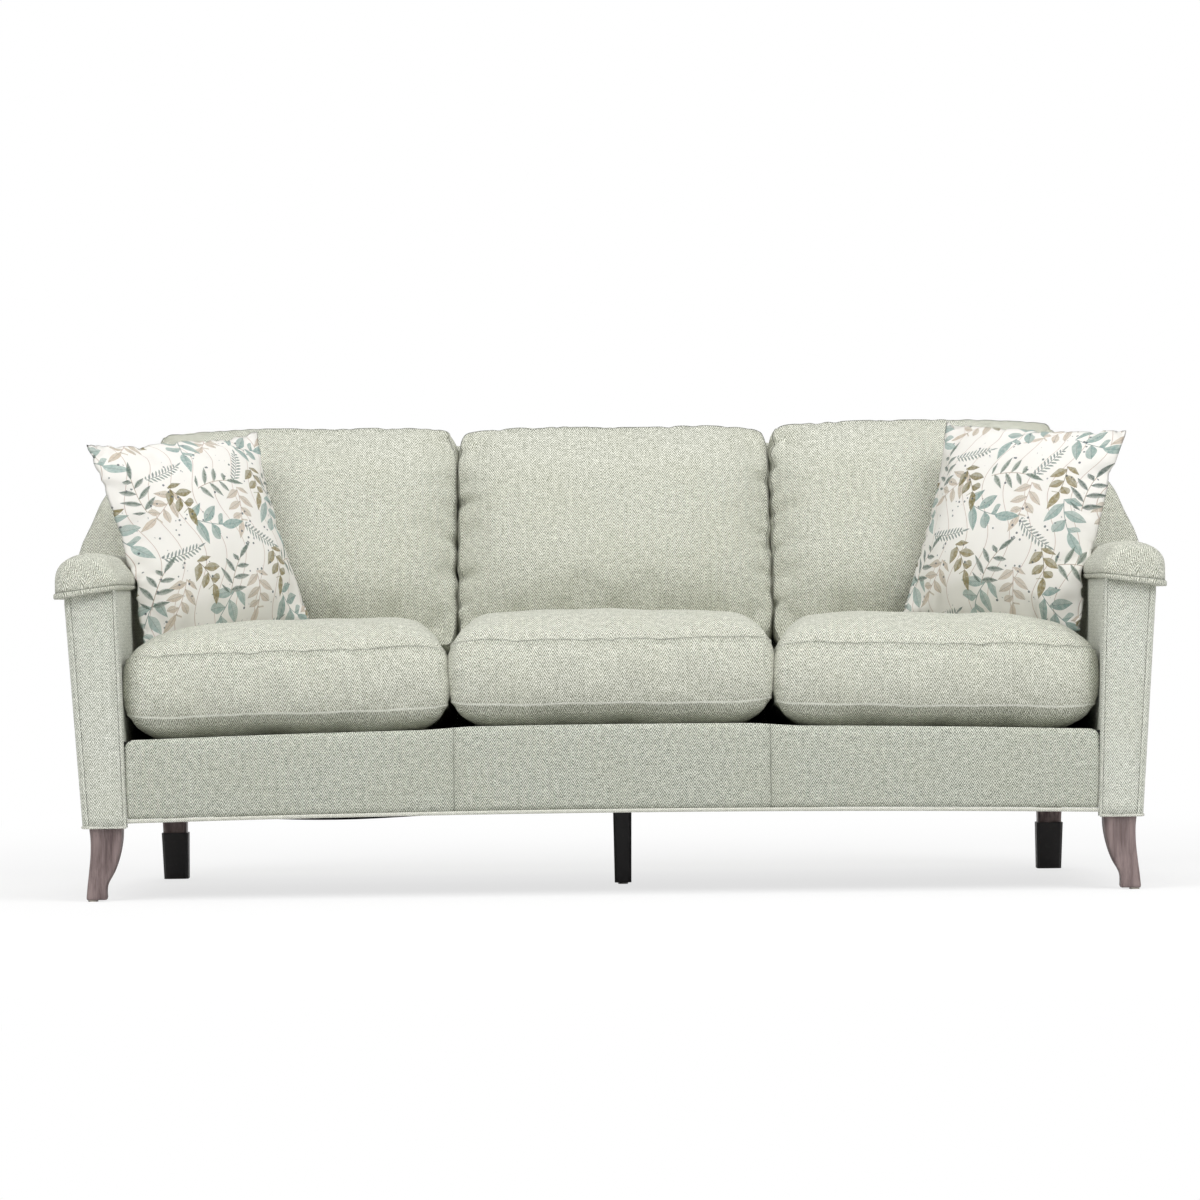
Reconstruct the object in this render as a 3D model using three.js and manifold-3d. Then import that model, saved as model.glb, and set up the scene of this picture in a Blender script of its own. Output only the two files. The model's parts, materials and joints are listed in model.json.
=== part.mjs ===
// A camelback sofa with rolled arms, three seat cushions, three back cushions and two throw pillows.
// Millimetres. X runs to the right, Y to the back and Z up. The origin is on the floor, under the middle.
import * as THREE from 'three';
import { mergeVertices } from 'three/addons/utils/BufferGeometryUtils.js';
import Module from 'manifold-3d';

const wasm = await Module();
wasm.setup();

// Overall size
const overallWidth = 2250;
const overallDepth = 960;

// Clearances
const touchGap = 0.3;
const seatSideGap = 3;
const backSideGap = 2;
const backRearGap = 0.6;
const pillowGap = 8;
const cutOverrun = 400;

// Arms
const armFootWidth = 87;
const armTopWidth = 102;
const armLean = 16;
const wingFlare = 56;
const armBottom = 144;
const armTop = 590;
const armSkin = 12;
const armFrontSkin = 14;
const capWidth = 137;
const capHeight = 91;
const capInnerOverhang = 14;
const capFrontOverhang = 20;
const capNose = 14;

// Back
const backPitch = 12;
const backRise = 335;
const insidePad = 30;
const backFrameDepth = 45;
const outsideSkin = 10;
const bandSkin = 12;

// Wooden frame
const boardThickness = 28;
const frameBottom = 170;
const frontRailTop = 300;
const backRailTop = 252;
const backRailDepth = 44;
const sideRailBottom = 150;
const sideRailHeight = 110;
const centreRailHeight = 68;
const centreRailOffset = 20;
const postWidth = 45;
const postDepth = 50;
const topRailHeight = 132;
const uprightWidth = 60;
const uprightOffset = 330;
const cornerBlockSide = 90;
const cornerBlockHeight = 60;

// Seat deck
const springWire = 4;
const springWidth = 46;
const springPitch = 50;
const springCount = 8;
const springInset = 12;
const deckPadEdge = 17;
const deckCrown = 16;

// Front border and the cloth under the seat
const borderSetback = 3;
const borderArch = 10;
const borderEndDrop = 25;
const borderEndRun = 88;
const borderRise = 17;
const weltDiameter = 8;
const dustCloth = 2.4;
const dustSag = 14;
const dustSagPlace = 548;
const dustSagSpread = 230;
const dustSagReach = 420;

// Legs
const frontLegWidth = 65;
const frontLegSetback = 8;
const frontLegInset = 6;
const frontLegFlare = 8;
const legChamfer = 5;
const studDiameter = 8;
const studLength = 30;
const studClearance = 0.5;
const glideDiameter = 20;
const glideThickness = 3;
const rearLegTop = 52;
const rearLegFoot = 44;
const rearLegInset = 29;
const rearLegRake = 34;
const sleeveHeight = 98;
const sleeveWall = 3;
const centreLegTop = 38;
const centreLegFoot = 34;

// Seat cushions
const seatSetback = 30;
const seatUnderside = 39;
const seatBoxing = 127;
const seatCrown = 68;
const seatCorner = 38;
const seatDrawIn = 4;

// Back cushions
const backCushionHeight = 462;
const backBoxingFoot = 104;
const backBoxingTop = 70;
const backRearSwell = 26;
const backFrontSwell = 74;
const backCorner = 44;
const backDrawIn = 6;

// Throw pillows
const pillowSide = 414;
const pillowThickness = 150;
const pillowCorner = 10;
const pillowDrawIn = 10;
const pillowInset = 70;
const pillowForward = 90;
const pillowDrop = 44;
const pillowUp = 742;
const pillowTurns = {
  left: { yaw: 39, lean: 18, roll: -6 },
  right: { yaw: -34, lean: 16.5, roll: 6 },
};
const settleReach = 90;

// Shares of the pieces that carry them
const capShares = [
  [0.03, 0], [0, 0.24], [0.015, 0.41], [0.095, 0.59], [0.17, 0.74], [0.255, 0.9], [0.34, 0.97],
  [0.43, 1], [0.58, 1], [0.745, 0.955], [0.89, 0.835], [0.965, 0.7], [1, 0.55], [1, 0],
];
const capNoseShares = [[0, 0.88], [0.35, 0.96], [1, 1]];
const camelShares = [
  [0.974, 0.117], [1, 0.265], [0.974, 0.487], [0.958, 0.618], [0.929, 0.729], [0.88, 0.789],
  [0.79, 0.829], [0.66, 0.863], [0.44, 0.923], [0.22, 0.977], [0, 1],
];
const frontLegShares = [
  [0, 0.4, 1], [0.2, 0.6, 0.69], [0.38, 0.755, 0.375], [0.65, 0.89, 0], [0.84, 0.954, 0], [1, 1, 0.25],
];
const seatTopShares = [0.94, 0.82, 0.62, 0.36];
const seatUnderShares = [[0.74, 0], [0.88, 0.16], [0.96, 0.5]];
const seatCrownPower = 2.4;
const seatApexShare = 0.2;
const backFrontShares = [0.95, 0.82, 0.6, 0.34];
const backRearShares = [[0.7, 0], [0.86, 0.16], [0.95, 0.5]];
const backCrownPower = 2.6;
const backApexShare = 0.09;
const pillowShares = [0.3, 0.58, 0.8, 0.93];
const pillowCrownPower = 2.2;
const pillowFullness = 0.75;

// Counts
const camelStepsPerPoint = 3;
const deckArchSteps = 12;
const borderSteps = 20;
const sideSteps = 4;
const cornerSteps = 3;
const roundSteps = 16;
const settleSteps = 14;
const dustColumns = 16;
const dustRows = 5;

const radians = THREE.MathUtils.degToRad;

// Places that several pieces share
const wingHalfWidth = overallWidth / 2;
const wellHalfWidth = wingHalfWidth - wingFlare - armTopWidth - armLean;
const crestHeight = armTop + backRise;
const capFront = -overallDepth / 2;
const armFront = capFront + capFrontOverhang;
const frameFront = armFront + armFrontSkin;
const backLayers = { skin: outsideSkin, frame: outsideSkin + touchGap + backFrameDepth };
const backDepth = backLayers.frame + touchGap + insidePad;
const pitchSine = Math.sin(radians(backPitch));
const pitchCosine = Math.cos(radians(backPitch));
const crestLength = (crestHeight - backDepth * pitchSine) / pitchCosine;
const backFootY = overallDepth / 2 - crestLength * pitchSine;

// The arm's faces lean outwards: the distance from the middle of the sofa at a height.
const armShare = (height) => (height - armBottom) / (armTop - armBottom);
const armInner = (height) => wellHalfWidth + armLean * armShare(height);
const armOuter = (height) => {
  const topOuter = wellHalfWidth + armLean + armTopWidth;
  const footOuter = wellHalfWidth + armFootWidth;
  return THREE.MathUtils.lerp(footOuter, topOuter, armShare(height));
};

// The back leans. These turn a height above the floor into a length up the back, at a depth in front of
// its outside face, and give where the inside of the back stands at a height.
const upBack = (height, depth) => (height - depth * pitchSine) / pitchCosine;
const insideBackY = (height) => backFootY + upBack(height, backDepth) * pitchSine - backDepth * pitchCosine;

const postInner = armInner(armTop) + armSkin + touchGap;
const rearPostInner = postInner - boardThickness / 2;
const backRailRear = backFootY + upBack(frameBottom, backLayers.skin) * pitchSine
  - (backLayers.skin + touchGap) * pitchCosine;
const backRailFront = backRailRear - backRailDepth;

// The rails carry the springs on one slope, which falls towards the back.
const deckRun = backRailFront - frameFront;
const deckSlope = (frontRailTop - backRailTop) / deckRun;
const deckAngle = Math.atan(deckSlope);
const deckLine = (y) => frontRailTop - deckSlope * (y - frameFront);
const springTop = springWire + touchGap;
const padTop = springTop + touchGap + deckPadEdge;
const deckHalfWidth = armInner(frontRailTop) - touchGap;
const archHeight = (x, halfWidth, rise) => rise * (1 - (x / halfWidth) ** 2);

// Materials
const finish = (color, roughness, metalness = 0) =>
  new THREE.MeshStandardMaterial({ color, roughness, metalness });
const materials = {
  sageWeave: finish(0xd4d6c8, 0.92),
  sageWelt: finish(0xdfe0d4, 0.9),
  print: finish(0xe2dfd4, 0.9),
  legWood: finish(0x82736f, 0.55),
  frameWood: finish(0xc2a57c, 0.75),
  spring: finish(0x6f7173, 0.4, 0.9),
  blackCloth: finish(0x1f1f20, 0.95),
  blackLeg: finish(0x222022, 0.6),
  glide: finish(0xb7b2a6, 0.5),
};

// Prisms: a section pushed along one axis.
function shapeOf(section) {
  return new THREE.Shape(section.map(([a, b]) => new THREE.Vector2(a, b)));
}

function pushed(section, length) {
  return new THREE.ExtrudeGeometry(shapeOf(section), { depth: length, bevelEnabled: false });
}

function prismAlongX(section, from, to) {
  const turn = new THREE.Matrix4().makeBasis(
    new THREE.Vector3(0, 1, 0), new THREE.Vector3(0, 0, 1), new THREE.Vector3(1, 0, 0));
  return pushed(section, to - from).applyMatrix4(turn).translate(from, 0, 0);
}

function prismAlongY(section, from, to) {
  return pushed(section, to - from).rotateX(Math.PI / 2).translate(0, to, 0);
}

function prismAlongZ(section, from, to) {
  return pushed(section, to - from).translate(0, 0, from);
}

function block([x0, x1], [y0, y1], [z0, z1]) {
  return new THREE.BoxGeometry(x1 - x0, y1 - y0, z1 - z0)
    .translate((x0 + x1) / 2, (y0 + y1) / 2, (z0 + z1) / 2);
}

function roundBar(diameter, x, y, from, to) {
  const radius = diameter / 2;
  return new THREE.CylinderGeometry(radius, radius, to - from, roundSteps)
    .rotateX(Math.PI / 2).translate(x, y, (from + to) / 2);
}

// A closed body from rings of points, listed from the bottom up, each ring running anticlockwise.
function ringBody(rings, foot, head) {
  const count = rings[0].length;
  const points = [foot, ...rings.flat(), head];
  const index = [];
  const at = (ring, step) => 1 + ring * count + (step % count);
  const last = points.length - 1;
  for (let step = 0; step < count; step += 1) {
    index.push(0, at(0, step + 1), at(0, step));
    index.push(last, at(rings.length - 1, step), at(rings.length - 1, step + 1));
    for (let ring = 0; ring + 1 < rings.length; ring += 1) {
      index.push(at(ring, step), at(ring, step + 1), at(ring + 1, step + 1));
      index.push(at(ring, step), at(ring + 1, step + 1), at(ring + 1, step));
    }
  }
  const geometry = new THREE.BufferGeometry();
  geometry.setAttribute('position', new THREE.Float32BufferAttribute(points.flat(), 3));
  geometry.setIndex(index);
  geometry.computeVertexNormals();
  return geometry;
}

// Solids, for cutting, joining and setting one piece down on another
function toSolid(geometry) {
  const bare = geometry.clone();
  bare.deleteAttribute('normal');
  bare.deleteAttribute('uv');
  const merged = mergeVertices(bare);
  return new wasm.Manifold(new wasm.Mesh({
    numProp: 3,
    vertProperties: new Float32Array(merged.attributes.position.array),
    triVerts: new Uint32Array(merged.index.array),
  }));
}

function fromSolid(solid) {
  const mesh = solid.getMesh();
  const geometry = new THREE.BufferGeometry();
  geometry.setAttribute('position', new THREE.Float32BufferAttribute(mesh.vertProperties, 3));
  geometry.setIndex(new THREE.Uint32BufferAttribute(mesh.triVerts, 1));
  geometry.computeVertexNormals();
  return geometry;
}

function cut(geometry, ...tools) {
  return fromSolid(tools.reduce((solid, tool) => solid.subtract(toSolid(tool)), toSolid(geometry)));
}

function join(geometry, ...others) {
  return fromSolid(others.reduce((solid, other) => solid.add(toSolid(other)), toSolid(geometry)));
}

function mirrored(geometry) {
  const copy = mergeVertices(geometry.clone().deleteAttribute('normal').deleteAttribute('uv'));
  copy.applyMatrix4(new THREE.Matrix4().makeScale(-1, 1, 1));
  const index = copy.index.array;
  for (let corner = 0; corner < index.length; corner += 3) {
    [index[corner], index[corner + 1]] = [index[corner + 1], index[corner]];
  }
  copy.computeVertexNormals();
  return copy;
}

// The scene: pieces of the back are drawn upright in a group that leans, the springs in one that slopes.
const sofa = new THREE.Group();
const back = new THREE.Group();
back.position.set(0, backFootY, 0);
back.rotation.x = -radians(backPitch);
sofa.add(back);
const deck = new THREE.Group();
deck.position.set(0, frameFront, frontRailTop);
deck.rotation.x = -deckAngle;
sofa.add(deck);
sofa.updateMatrixWorld(true);

function add(parent, name, geometry, material) {
  const mesh = new THREE.Mesh(geometry, material);
  mesh.name = name;
  parent.add(mesh);
  return mesh;
}

function addPair(parent, name, geometry, material) {
  add(parent, `${name}_right`, geometry, material);
  add(parent, `${name}_left`, mirrored(geometry), material);
}

// Everything that lies behind a plane of the back, this far in front of its outside face.
function behindBack(depth) {
  const reach = [-cutOverrun, crestLength + cutOverrun];
  const width = [-overallWidth, overallWidth];
  return block(width, [-depth, cutOverrun], reach).applyMatrix4(back.matrixWorld);
}

// Arms: leaning side panels, a front panel and the rolled cap.
function makeArms() {
  const panelTop = armTop - touchGap;
  const innerFoot = frontRailTop + touchGap;
  const innerSection = [
    [armInner(innerFoot), innerFoot], [armInner(innerFoot) + armSkin, innerFoot],
    [armInner(panelTop) + armSkin, panelTop], [armInner(panelTop), panelTop],
  ];
  const outerSection = [
    [armOuter(armBottom) - armSkin, armBottom], [armOuter(armBottom), armBottom],
    [armOuter(panelTop), panelTop], [armOuter(panelTop) - armSkin, panelTop],
  ];
  const frontSection = [
    [armInner(armBottom), armBottom], [armOuter(armBottom), armBottom],
    [armOuter(panelTop), panelTop], [armInner(panelTop), panelTop],
  ];
  const rear = overallDepth / 2;
  const innerPanel = cut(prismAlongY(innerSection, frameFront + touchGap, rear),
    behindBack(backDepth + touchGap));
  const outerPanel = cut(prismAlongY(outerSection, frameFront + touchGap, rear),
    behindBack(outsideSkin + touchGap));
  addPair(sofa, 'arm_inner_panel', innerPanel, materials.sageWeave);
  addPair(sofa, 'arm_outer_panel', outerPanel, materials.sageWeave);
  addPair(sofa, 'arm_front_panel', prismAlongY(frontSection, armFront, frameFront), materials.sageWeave);
  addPair(sofa, 'arm_cap', makeCap(rear), materials.sageWeave);
}

function makeCap(rear) {
  const inside = armInner(armTop) - capInnerOverhang;
  const middle = 0.5;
  const ring = (spread, y) => capShares.map(([across, up]) => [
    inside + capWidth * (middle + (across - middle) * spread), y,
    armTop + capHeight * (middle + (up - middle) * spread),
  ]);
  const centre = (y) => [inside + capWidth * middle, y, armTop + capHeight * middle];
  const nose = capNoseShares.map(([share, spread]) => ring(spread, capFront + capNose * share));
  const rings = [...nose, ring(1, rear)];
  return cut(ringBody(rings, centre(capFront), centre(rear)), behindBack(backDepth + touchGap));
}

// The camel outline of the back, from the right arm over the crest to the left arm.
function camelPath() {
  const armTopLength = upBack(armTop + touchGap, backLayers.skin);
  const half = [
    [armOuter(armTop), armTopLength],
    ...camelShares.map(([across, up]) =>
      [across * wingHalfWidth, THREE.MathUtils.lerp(armTopLength, crestLength, up)]),
  ];
  const otherHalf = half.slice(0, -1).reverse().map(([x, z]) => [-x, z]);
  const points = [...half, ...otherHalf].map(([x, z]) => new THREE.Vector2(x, z));
  const curve = new THREE.SplineCurve(points);
  return curve.getPoints((points.length - 1) * camelStepsPerPoint).map(({ x, y }) => [x, y]);
}

// The same path moved towards the inside of the back.
function insetPath(path, distance) {
  return path.map(([x, z], place) => {
    const [beforeX, beforeZ] = path[Math.max(place - 1, 0)];
    const [afterX, afterZ] = path[Math.min(place + 1, path.length - 1)];
    const length = Math.hypot(afterX - beforeX, afterZ - beforeZ);
    const alongX = (afterX - beforeX) / length;
    const alongZ = (afterZ - beforeZ) / length;
    return [x - alongZ * distance, z + alongX * distance];
  });
}

// Where a path over the top crosses a distance from the middle.
function pathHeight(path, x) {
  const after = path.findIndex((point, place) => place > 0 && point[0] <= x && path[place - 1][0] > x);
  const [x1, z1] = path[after];
  const [x0, z0] = path[after - 1];
  return THREE.MathUtils.lerp(z0, z1, (x - x0) / (x1 - x0));
}

// The back: padded inside, the frame that carries it, the band round its edge and the outside.
function makeBack() {
  const path = camelPath();
  const inner = insetPath(path, bandSkin);
  const woodPath = insetPath(path, bandSkin + touchGap);
  const frameLayer = [-backLayers.frame, -backLayers.skin - touchGap];
  const foot = upBack(armBottom, 0);
  const panelFoot = upBack(backRailTop + springTop + touchGap, backLayers.frame) + touchGap;
  const armLength = path[0][1];
  const insideX = wellHalfWidth - touchGap;
  const insideSection = [
    [-insideX, panelFoot], [insideX, panelFoot], [insideX, armLength],
    ...path, [-insideX, armLength],
  ];
  const seatFoot = upBack(frameBottom, 0);
  const outsideSection = [
    [-armOuter(armBottom), foot], [-wellHalfWidth, foot], [-wellHalfWidth, seatFoot],
    [wellHalfWidth, seatFoot], [wellHalfWidth, foot], [armOuter(armBottom), foot], ...path,
  ];
  const bandSection = [...path, ...[...inner].reverse()];
  add(back, 'inside_back', prismAlongY(insideSection, -backDepth, -backDepth + insidePad),
    materials.sageWeave);
  add(back, 'outside_back', prismAlongY(outsideSection, -outsideSkin, 0), materials.sageWeave);
  add(back, 'back_band', prismAlongY(bandSection, ...frameLayer), materials.sageWeave);

  const railHalf = rearPostInner + postWidth;
  const railFoot = crestLength - topRailHeight;
  const railTop = woodPath.filter(([x, z]) => Math.abs(x) < railHalf - touchGap && z > railFoot);
  const railSection = [
    [-railHalf, railFoot], [railHalf, railFoot], [railHalf, pathHeight(woodPath, railHalf)],
    ...railTop, [-railHalf, pathHeight(woodPath, railHalf)],
  ];
  add(back, 'back_top_rail', prismAlongY(railSection, ...frameLayer), materials.frameWood);

  const wingInner = railHalf + touchGap;
  const wingTop = pathHeight(woodPath, wingInner);
  const wingFoot = armLength + touchGap;
  const wingEdge = woodPath.filter(([x, z]) => x > wingInner + touchGap && z > wingFoot);
  const wingSection = [
    [wingInner, wingFoot], [wingEdge[0][0], wingFoot], ...wingEdge, [wingInner, wingTop],
  ];
  addPair(back, 'back_wing', prismAlongY(wingSection, ...frameLayer), materials.frameWood);

  const postFoot = upBack(sideRailBottom, backLayers.skin);
  const postSpan = [rearPostInner, rearPostInner + postWidth];
  addPair(back, 'rear_post', block(postSpan, frameLayer, [postFoot, railFoot - touchGap]),
    materials.frameWood);
  const uprightFoot = upBack(backRailTop + springTop, backLayers.skin) + touchGap;
  const uprightSpan = [uprightOffset - uprightWidth / 2, uprightOffset + uprightWidth / 2];
  addPair(back, 'back_upright', block(uprightSpan, frameLayer, [uprightFoot, railFoot - touchGap]),
    materials.frameWood);
}

// The seat frame and the arm frames
function makeFrame() {
  const wood = materials.frameWood;
  const railSection = (front, rear) => [
    [front, frameBottom], [rear, frameBottom], [rear, deckLine(rear)], [front, deckLine(front)],
  ];
  const frontRailRear = frameFront + boardThickness;
  const frontHalf = postInner - touchGap;
  const backHalf = rearPostInner - touchGap;
  add(sofa, 'front_rail', prismAlongX(railSection(frameFront, frontRailRear), -frontHalf, frontHalf), wood);

  const studPlace = rearLegPlace();
  const backRail = prismAlongX(railSection(backRailFront, backRailRear), -backHalf, backHalf);
  const backHoles = [studHole(studPlace.x, studPlace.y, frameBottom),
    studHole(-studPlace.x, studPlace.y, frameBottom)];
  add(sofa, 'back_rail', cut(backRail, ...backHoles), wood);

  const centreSpan = [centreRailOffset - boardThickness / 2, centreRailOffset + boardThickness / 2];
  const centreRun = [frontRailRear + touchGap, backRailFront - touchGap];
  const centreRail = block(centreSpan, centreRun, [frameBottom, frameBottom + centreRailHeight]);
  const centre = centreLegPlace();
  add(sofa, 'centre_rail', cut(centreRail, studHole(centre.x, centre.y, frameBottom)), wood);

  const postRear = frameFront + postDepth;
  const boardFoot = armTop - touchGap - boardThickness;
  const post = block([postInner, postInner + postWidth], [frameFront + touchGap, postRear],
    [armBottom, boardFoot - touchGap]);
  const leg = frontLegPlace();
  addPair(sofa, 'front_post', cut(post, studHole(leg.x, leg.y, armBottom)), wood);

  const sideRail = block([postInner, postInner + boardThickness], [postRear + touchGap, overallDepth / 2],
    [sideRailBottom, sideRailBottom + sideRailHeight]);
  addPair(sofa, 'side_rail', cut(sideRail, behindBack(backLayers.frame + touchGap)), wood);

  const boardOuter = armOuter(boardFoot) - armSkin - touchGap;
  const board = block([postInner, boardOuter], [frameFront + touchGap, overallDepth / 2],
    [boardFoot, armTop - touchGap]);
  addPair(sofa, 'arm_top_board', cut(board, behindBack(backDepth + touchGap)), wood);

  const cornerX = frontHalf;
  const cornerY = frontRailRear + touchGap;
  const cornerSection = [
    [cornerX, cornerY], [cornerX, cornerY + cornerBlockSide], [cornerX - cornerBlockSide, cornerY],
  ];
  const cornerBlock = prismAlongZ(cornerSection, frameBottom, frameBottom + cornerBlockHeight);
  addPair(sofa, 'corner_block', cornerBlock, wood);
}

// Sinuous springs, each one zigzag of wire from the front rail to the back rail.
function makeSprings() {
  const start = springInset;
  const end = deckRun / Math.cos(deckAngle) + springInset;
  const bends = Math.round((end - start) / (springPitch / 2));
  const step = (end - start) / bends;
  const across = springWidth / 2;
  const reach = (springWire / 2) * Math.hypot(springWidth, step) / step;
  const bend = (place) => [place % 2 ? across : -across, start + place * step];
  const places = Array.from({ length: bends + 1 }, (_, place) => bend(place));
  const near = places.map(([x, y]) => [x - reach, y]);
  const far = places.map(([x, y]) => [x + reach, y]).reverse();
  const wire = prismAlongZ([...far, ...near], touchGap, springTop);
  const spacing = 2 * deckHalfWidth / springCount;
  for (let place = 0; place < springCount; place += 1) {
    const x = (place + 1 / 2) * spacing - deckHalfWidth;
    add(deck, `seat_spring_${place + 1}`, wire.clone(), materials.spring).position.x = x;
  }
}

// The deck pad over the springs, arched from arm to arm.
function makeDeckPad() {
  const arch = Array.from({ length: deckArchSteps + 1 }, (_, step) => {
    const x = deckHalfWidth * (1 - 2 * step / deckArchSteps);
    return [x, padTop + archHeight(x, deckHalfWidth, deckCrown)];
  });
  const foot = springTop + touchGap;
  const section = [[-deckHalfWidth, foot], [deckHalfWidth, foot], ...arch];
  const pad = prismAlongY(section, 0, overallDepth).applyMatrix4(deck.matrixWorld);
  return add(sofa, 'deck_pad', cut(pad, behindBack(backDepth + touchGap)), materials.sageWeave);
}

// The front border, its welt, and the cloth under the seat
function makeBorder() {
  const halfWidth = wellHalfWidth - 2 * touchGap;
  const steps = Array.from({ length: borderSteps + 1 },
    (_, step) => halfWidth * (1 - 2 * step / borderSteps));
  const bottomAt = (x) => frameBottom - borderArch + archHeight(x, halfWidth, borderArch);
  const topAt = (x) => {
    const fromEnd = Math.min((halfWidth - Math.abs(x)) / borderEndRun, 1);
    const drop = borderEndDrop * (1 - fromEnd) ** 2;
    return frontRailTop + borderRise + archHeight(x, halfWidth, deckCrown) - drop;
  };
  const section = [...[...steps].reverse().map((x) => [x, bottomAt(x)]), ...steps.map((x) => [x, topAt(x)])];
  const face = armFront + borderSetback;
  const border = prismAlongY(section, face, frameFront - touchGap);
  add(sofa, 'front_border', border, materials.sageWeave);

  const weltTop = steps.map((x) => [x, bottomAt(x) - touchGap]);
  const weltFoot = [...steps].reverse().map((x) => [x, bottomAt(x) - touchGap - weltDiameter]);
  const welt = prismAlongY([...weltFoot, ...weltTop], face, face + weltDiameter);
  add(sofa, 'bottom_welt', welt, materials.sageWelt);
}

function makeDustCover() {
  const halfWidth = wellHalfWidth - 2 * touchGap;
  const front = frameFront + touchGap;
  const length = backRailRear - dustCloth - front;
  const top = frameBottom - touchGap;
  const sheet = new THREE.BoxGeometry(2 * halfWidth, length, dustCloth, dustColumns, dustRows, 1);
  sheet.translate(0, front + length / 2, top - dustCloth / 2);
  const place = sheet.attributes.position;
  for (let point = 0; point < place.count; point += 1) {
    const across = (place.getX(point) + dustSagPlace) / dustSagSpread;
    const along = Math.min((place.getY(point) - front) / dustSagReach, 1);
    const sag = dustSag * Math.exp(-across * across) * (1 - along) ** 2;
    place.setZ(point, place.getZ(point) - sag);
  }
  const rear = rearLegPlace();
  const centre = centreLegPlace();
  const foot = frameBottom - dustCloth - studClearance;
  const holes = [[rear.x, rear.y], [-rear.x, rear.y], [centre.x, centre.y]]
    .map(([x, y]) => studHole(x, y, foot));
  add(sofa, 'dust_cover', cut(sheet, ...holes), materials.blackCloth);
}

// Legs. Each has a stud at its top, screwed into a hole of the frame.
function studHole(x, y, foot) {
  return roundBar(studDiameter + 2 * studClearance, x, y, foot - studClearance,
    foot + studLength + studClearance + dustCloth);
}

function withStud(leg, x, y, top) {
  return join(leg, roundBar(studDiameter, x, y, top - studDiameter, top + studLength));
}

function chamferedRing([x0, x1], [y0, y1], z, chamfer) {
  return [
    [x0 + chamfer, y0, z], [x1 - chamfer, y0, z], [x1, y0 + chamfer, z], [x1, y1 - chamfer, z],
    [x1 - chamfer, y1, z], [x0 + chamfer, y1, z], [x0, y1 - chamfer, z], [x0, y0 + chamfer, z],
  ];
}

function squareRing(x, y, side, z) {
  return chamferedRing([x - side / 2, x + side / 2], [y - side / 2, y + side / 2], z, legChamfer);
}

function frontLegPlace() {
  const outer = armOuter(armBottom) - frontLegInset - frontLegFlare;
  const front = armFront + frontLegSetback;
  const middle = frontLegWidth / 2;
  return { outer, front, x: outer - middle, y: front + middle, top: armBottom - touchGap };
}

function rearLegPlace() {
  const x = wellHalfWidth - rearLegInset;
  return { x, y: (backRailFront + backRailRear) / 2, top: frameBottom - dustCloth - 2 * touchGap };
}

function centreLegPlace() {
  const y = (frameFront + backRailRear) / 2;
  return { x: centreRailOffset, y, top: frameBottom - dustCloth - 2 * touchGap };
}

function makeFrontLegs() {
  const { outer, front, x, y, top } = frontLegPlace();
  const foot = glideThickness + touchGap;
  const rings = frontLegShares.map(([up, width, flare]) => {
    const side = width * frontLegWidth;
    const out = flare * frontLegFlare;
    const z = foot + up * (top - foot);
    const depth = [front - out, front - out + side];
    return chamferedRing([outer + out - side, outer + out], depth, z, legChamfer);
  });
  const leg = ringBody(rings, [x, y, foot], [x, y, top]);
  addPair(sofa, 'front_leg', withStud(leg, x, y, top), materials.legWood);
  const [[, footShare, flareShare]] = frontLegShares;
  const footMiddle = footShare * frontLegWidth / 2 - flareShare * frontLegFlare;
  const glide = roundBar(glideDiameter, outer - footMiddle, front + footMiddle, 0, glideThickness);
  addPair(sofa, 'front_glide', glide, materials.glide);
}

// A rear leg rakes backwards, and its lower part stands in a black sleeve.
function makeRearLegs() {
  const { x, y, top } = rearLegPlace();
  const foot = sleeveWall + touchGap;
  const at = (z, grow) => {
    const share = (top - z) / (top - foot);
    return squareRing(x, y + rearLegRake * share,
      THREE.MathUtils.lerp(rearLegTop, rearLegFoot, share) + 2 * grow, z);
  };
  const middle = (z) => [x, y + rearLegRake * (top - z) / (top - foot), z];
  const leg = ringBody([at(foot, 0), at(top, 0)], middle(foot), middle(top));
  addPair(sofa, 'rear_leg', withStud(leg, x, y, top), materials.legWood);
  const wall = touchGap + sleeveWall;
  const sleeve = ringBody([at(0, wall), at(sleeveHeight, wall)], middle(0), middle(sleeveHeight));
  const cavityTop = sleeveHeight + sleeveWall;
  const cavity = ringBody([at(sleeveWall, touchGap), at(cavityTop, touchGap)],
    middle(sleeveWall), middle(cavityTop));
  addPair(sofa, 'rear_leg_sleeve', cut(sleeve, cavity), materials.blackLeg);
}

function makeCentreLeg() {
  const { x, y, top } = centreLegPlace();
  const foot = glideThickness + touchGap;
  const rings = [squareRing(x, y, centreLegFoot, foot), squareRing(x, y, centreLegTop, top)];
  const leg = ringBody(rings, [x, y, foot], [x, y, top]);
  add(sofa, 'centre_leg', withStud(leg, x, y, top), materials.blackLeg);
  add(sofa, 'centre_glide', roundBar(glideDiameter, x, y, 0, glideThickness), materials.glide);
}

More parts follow.
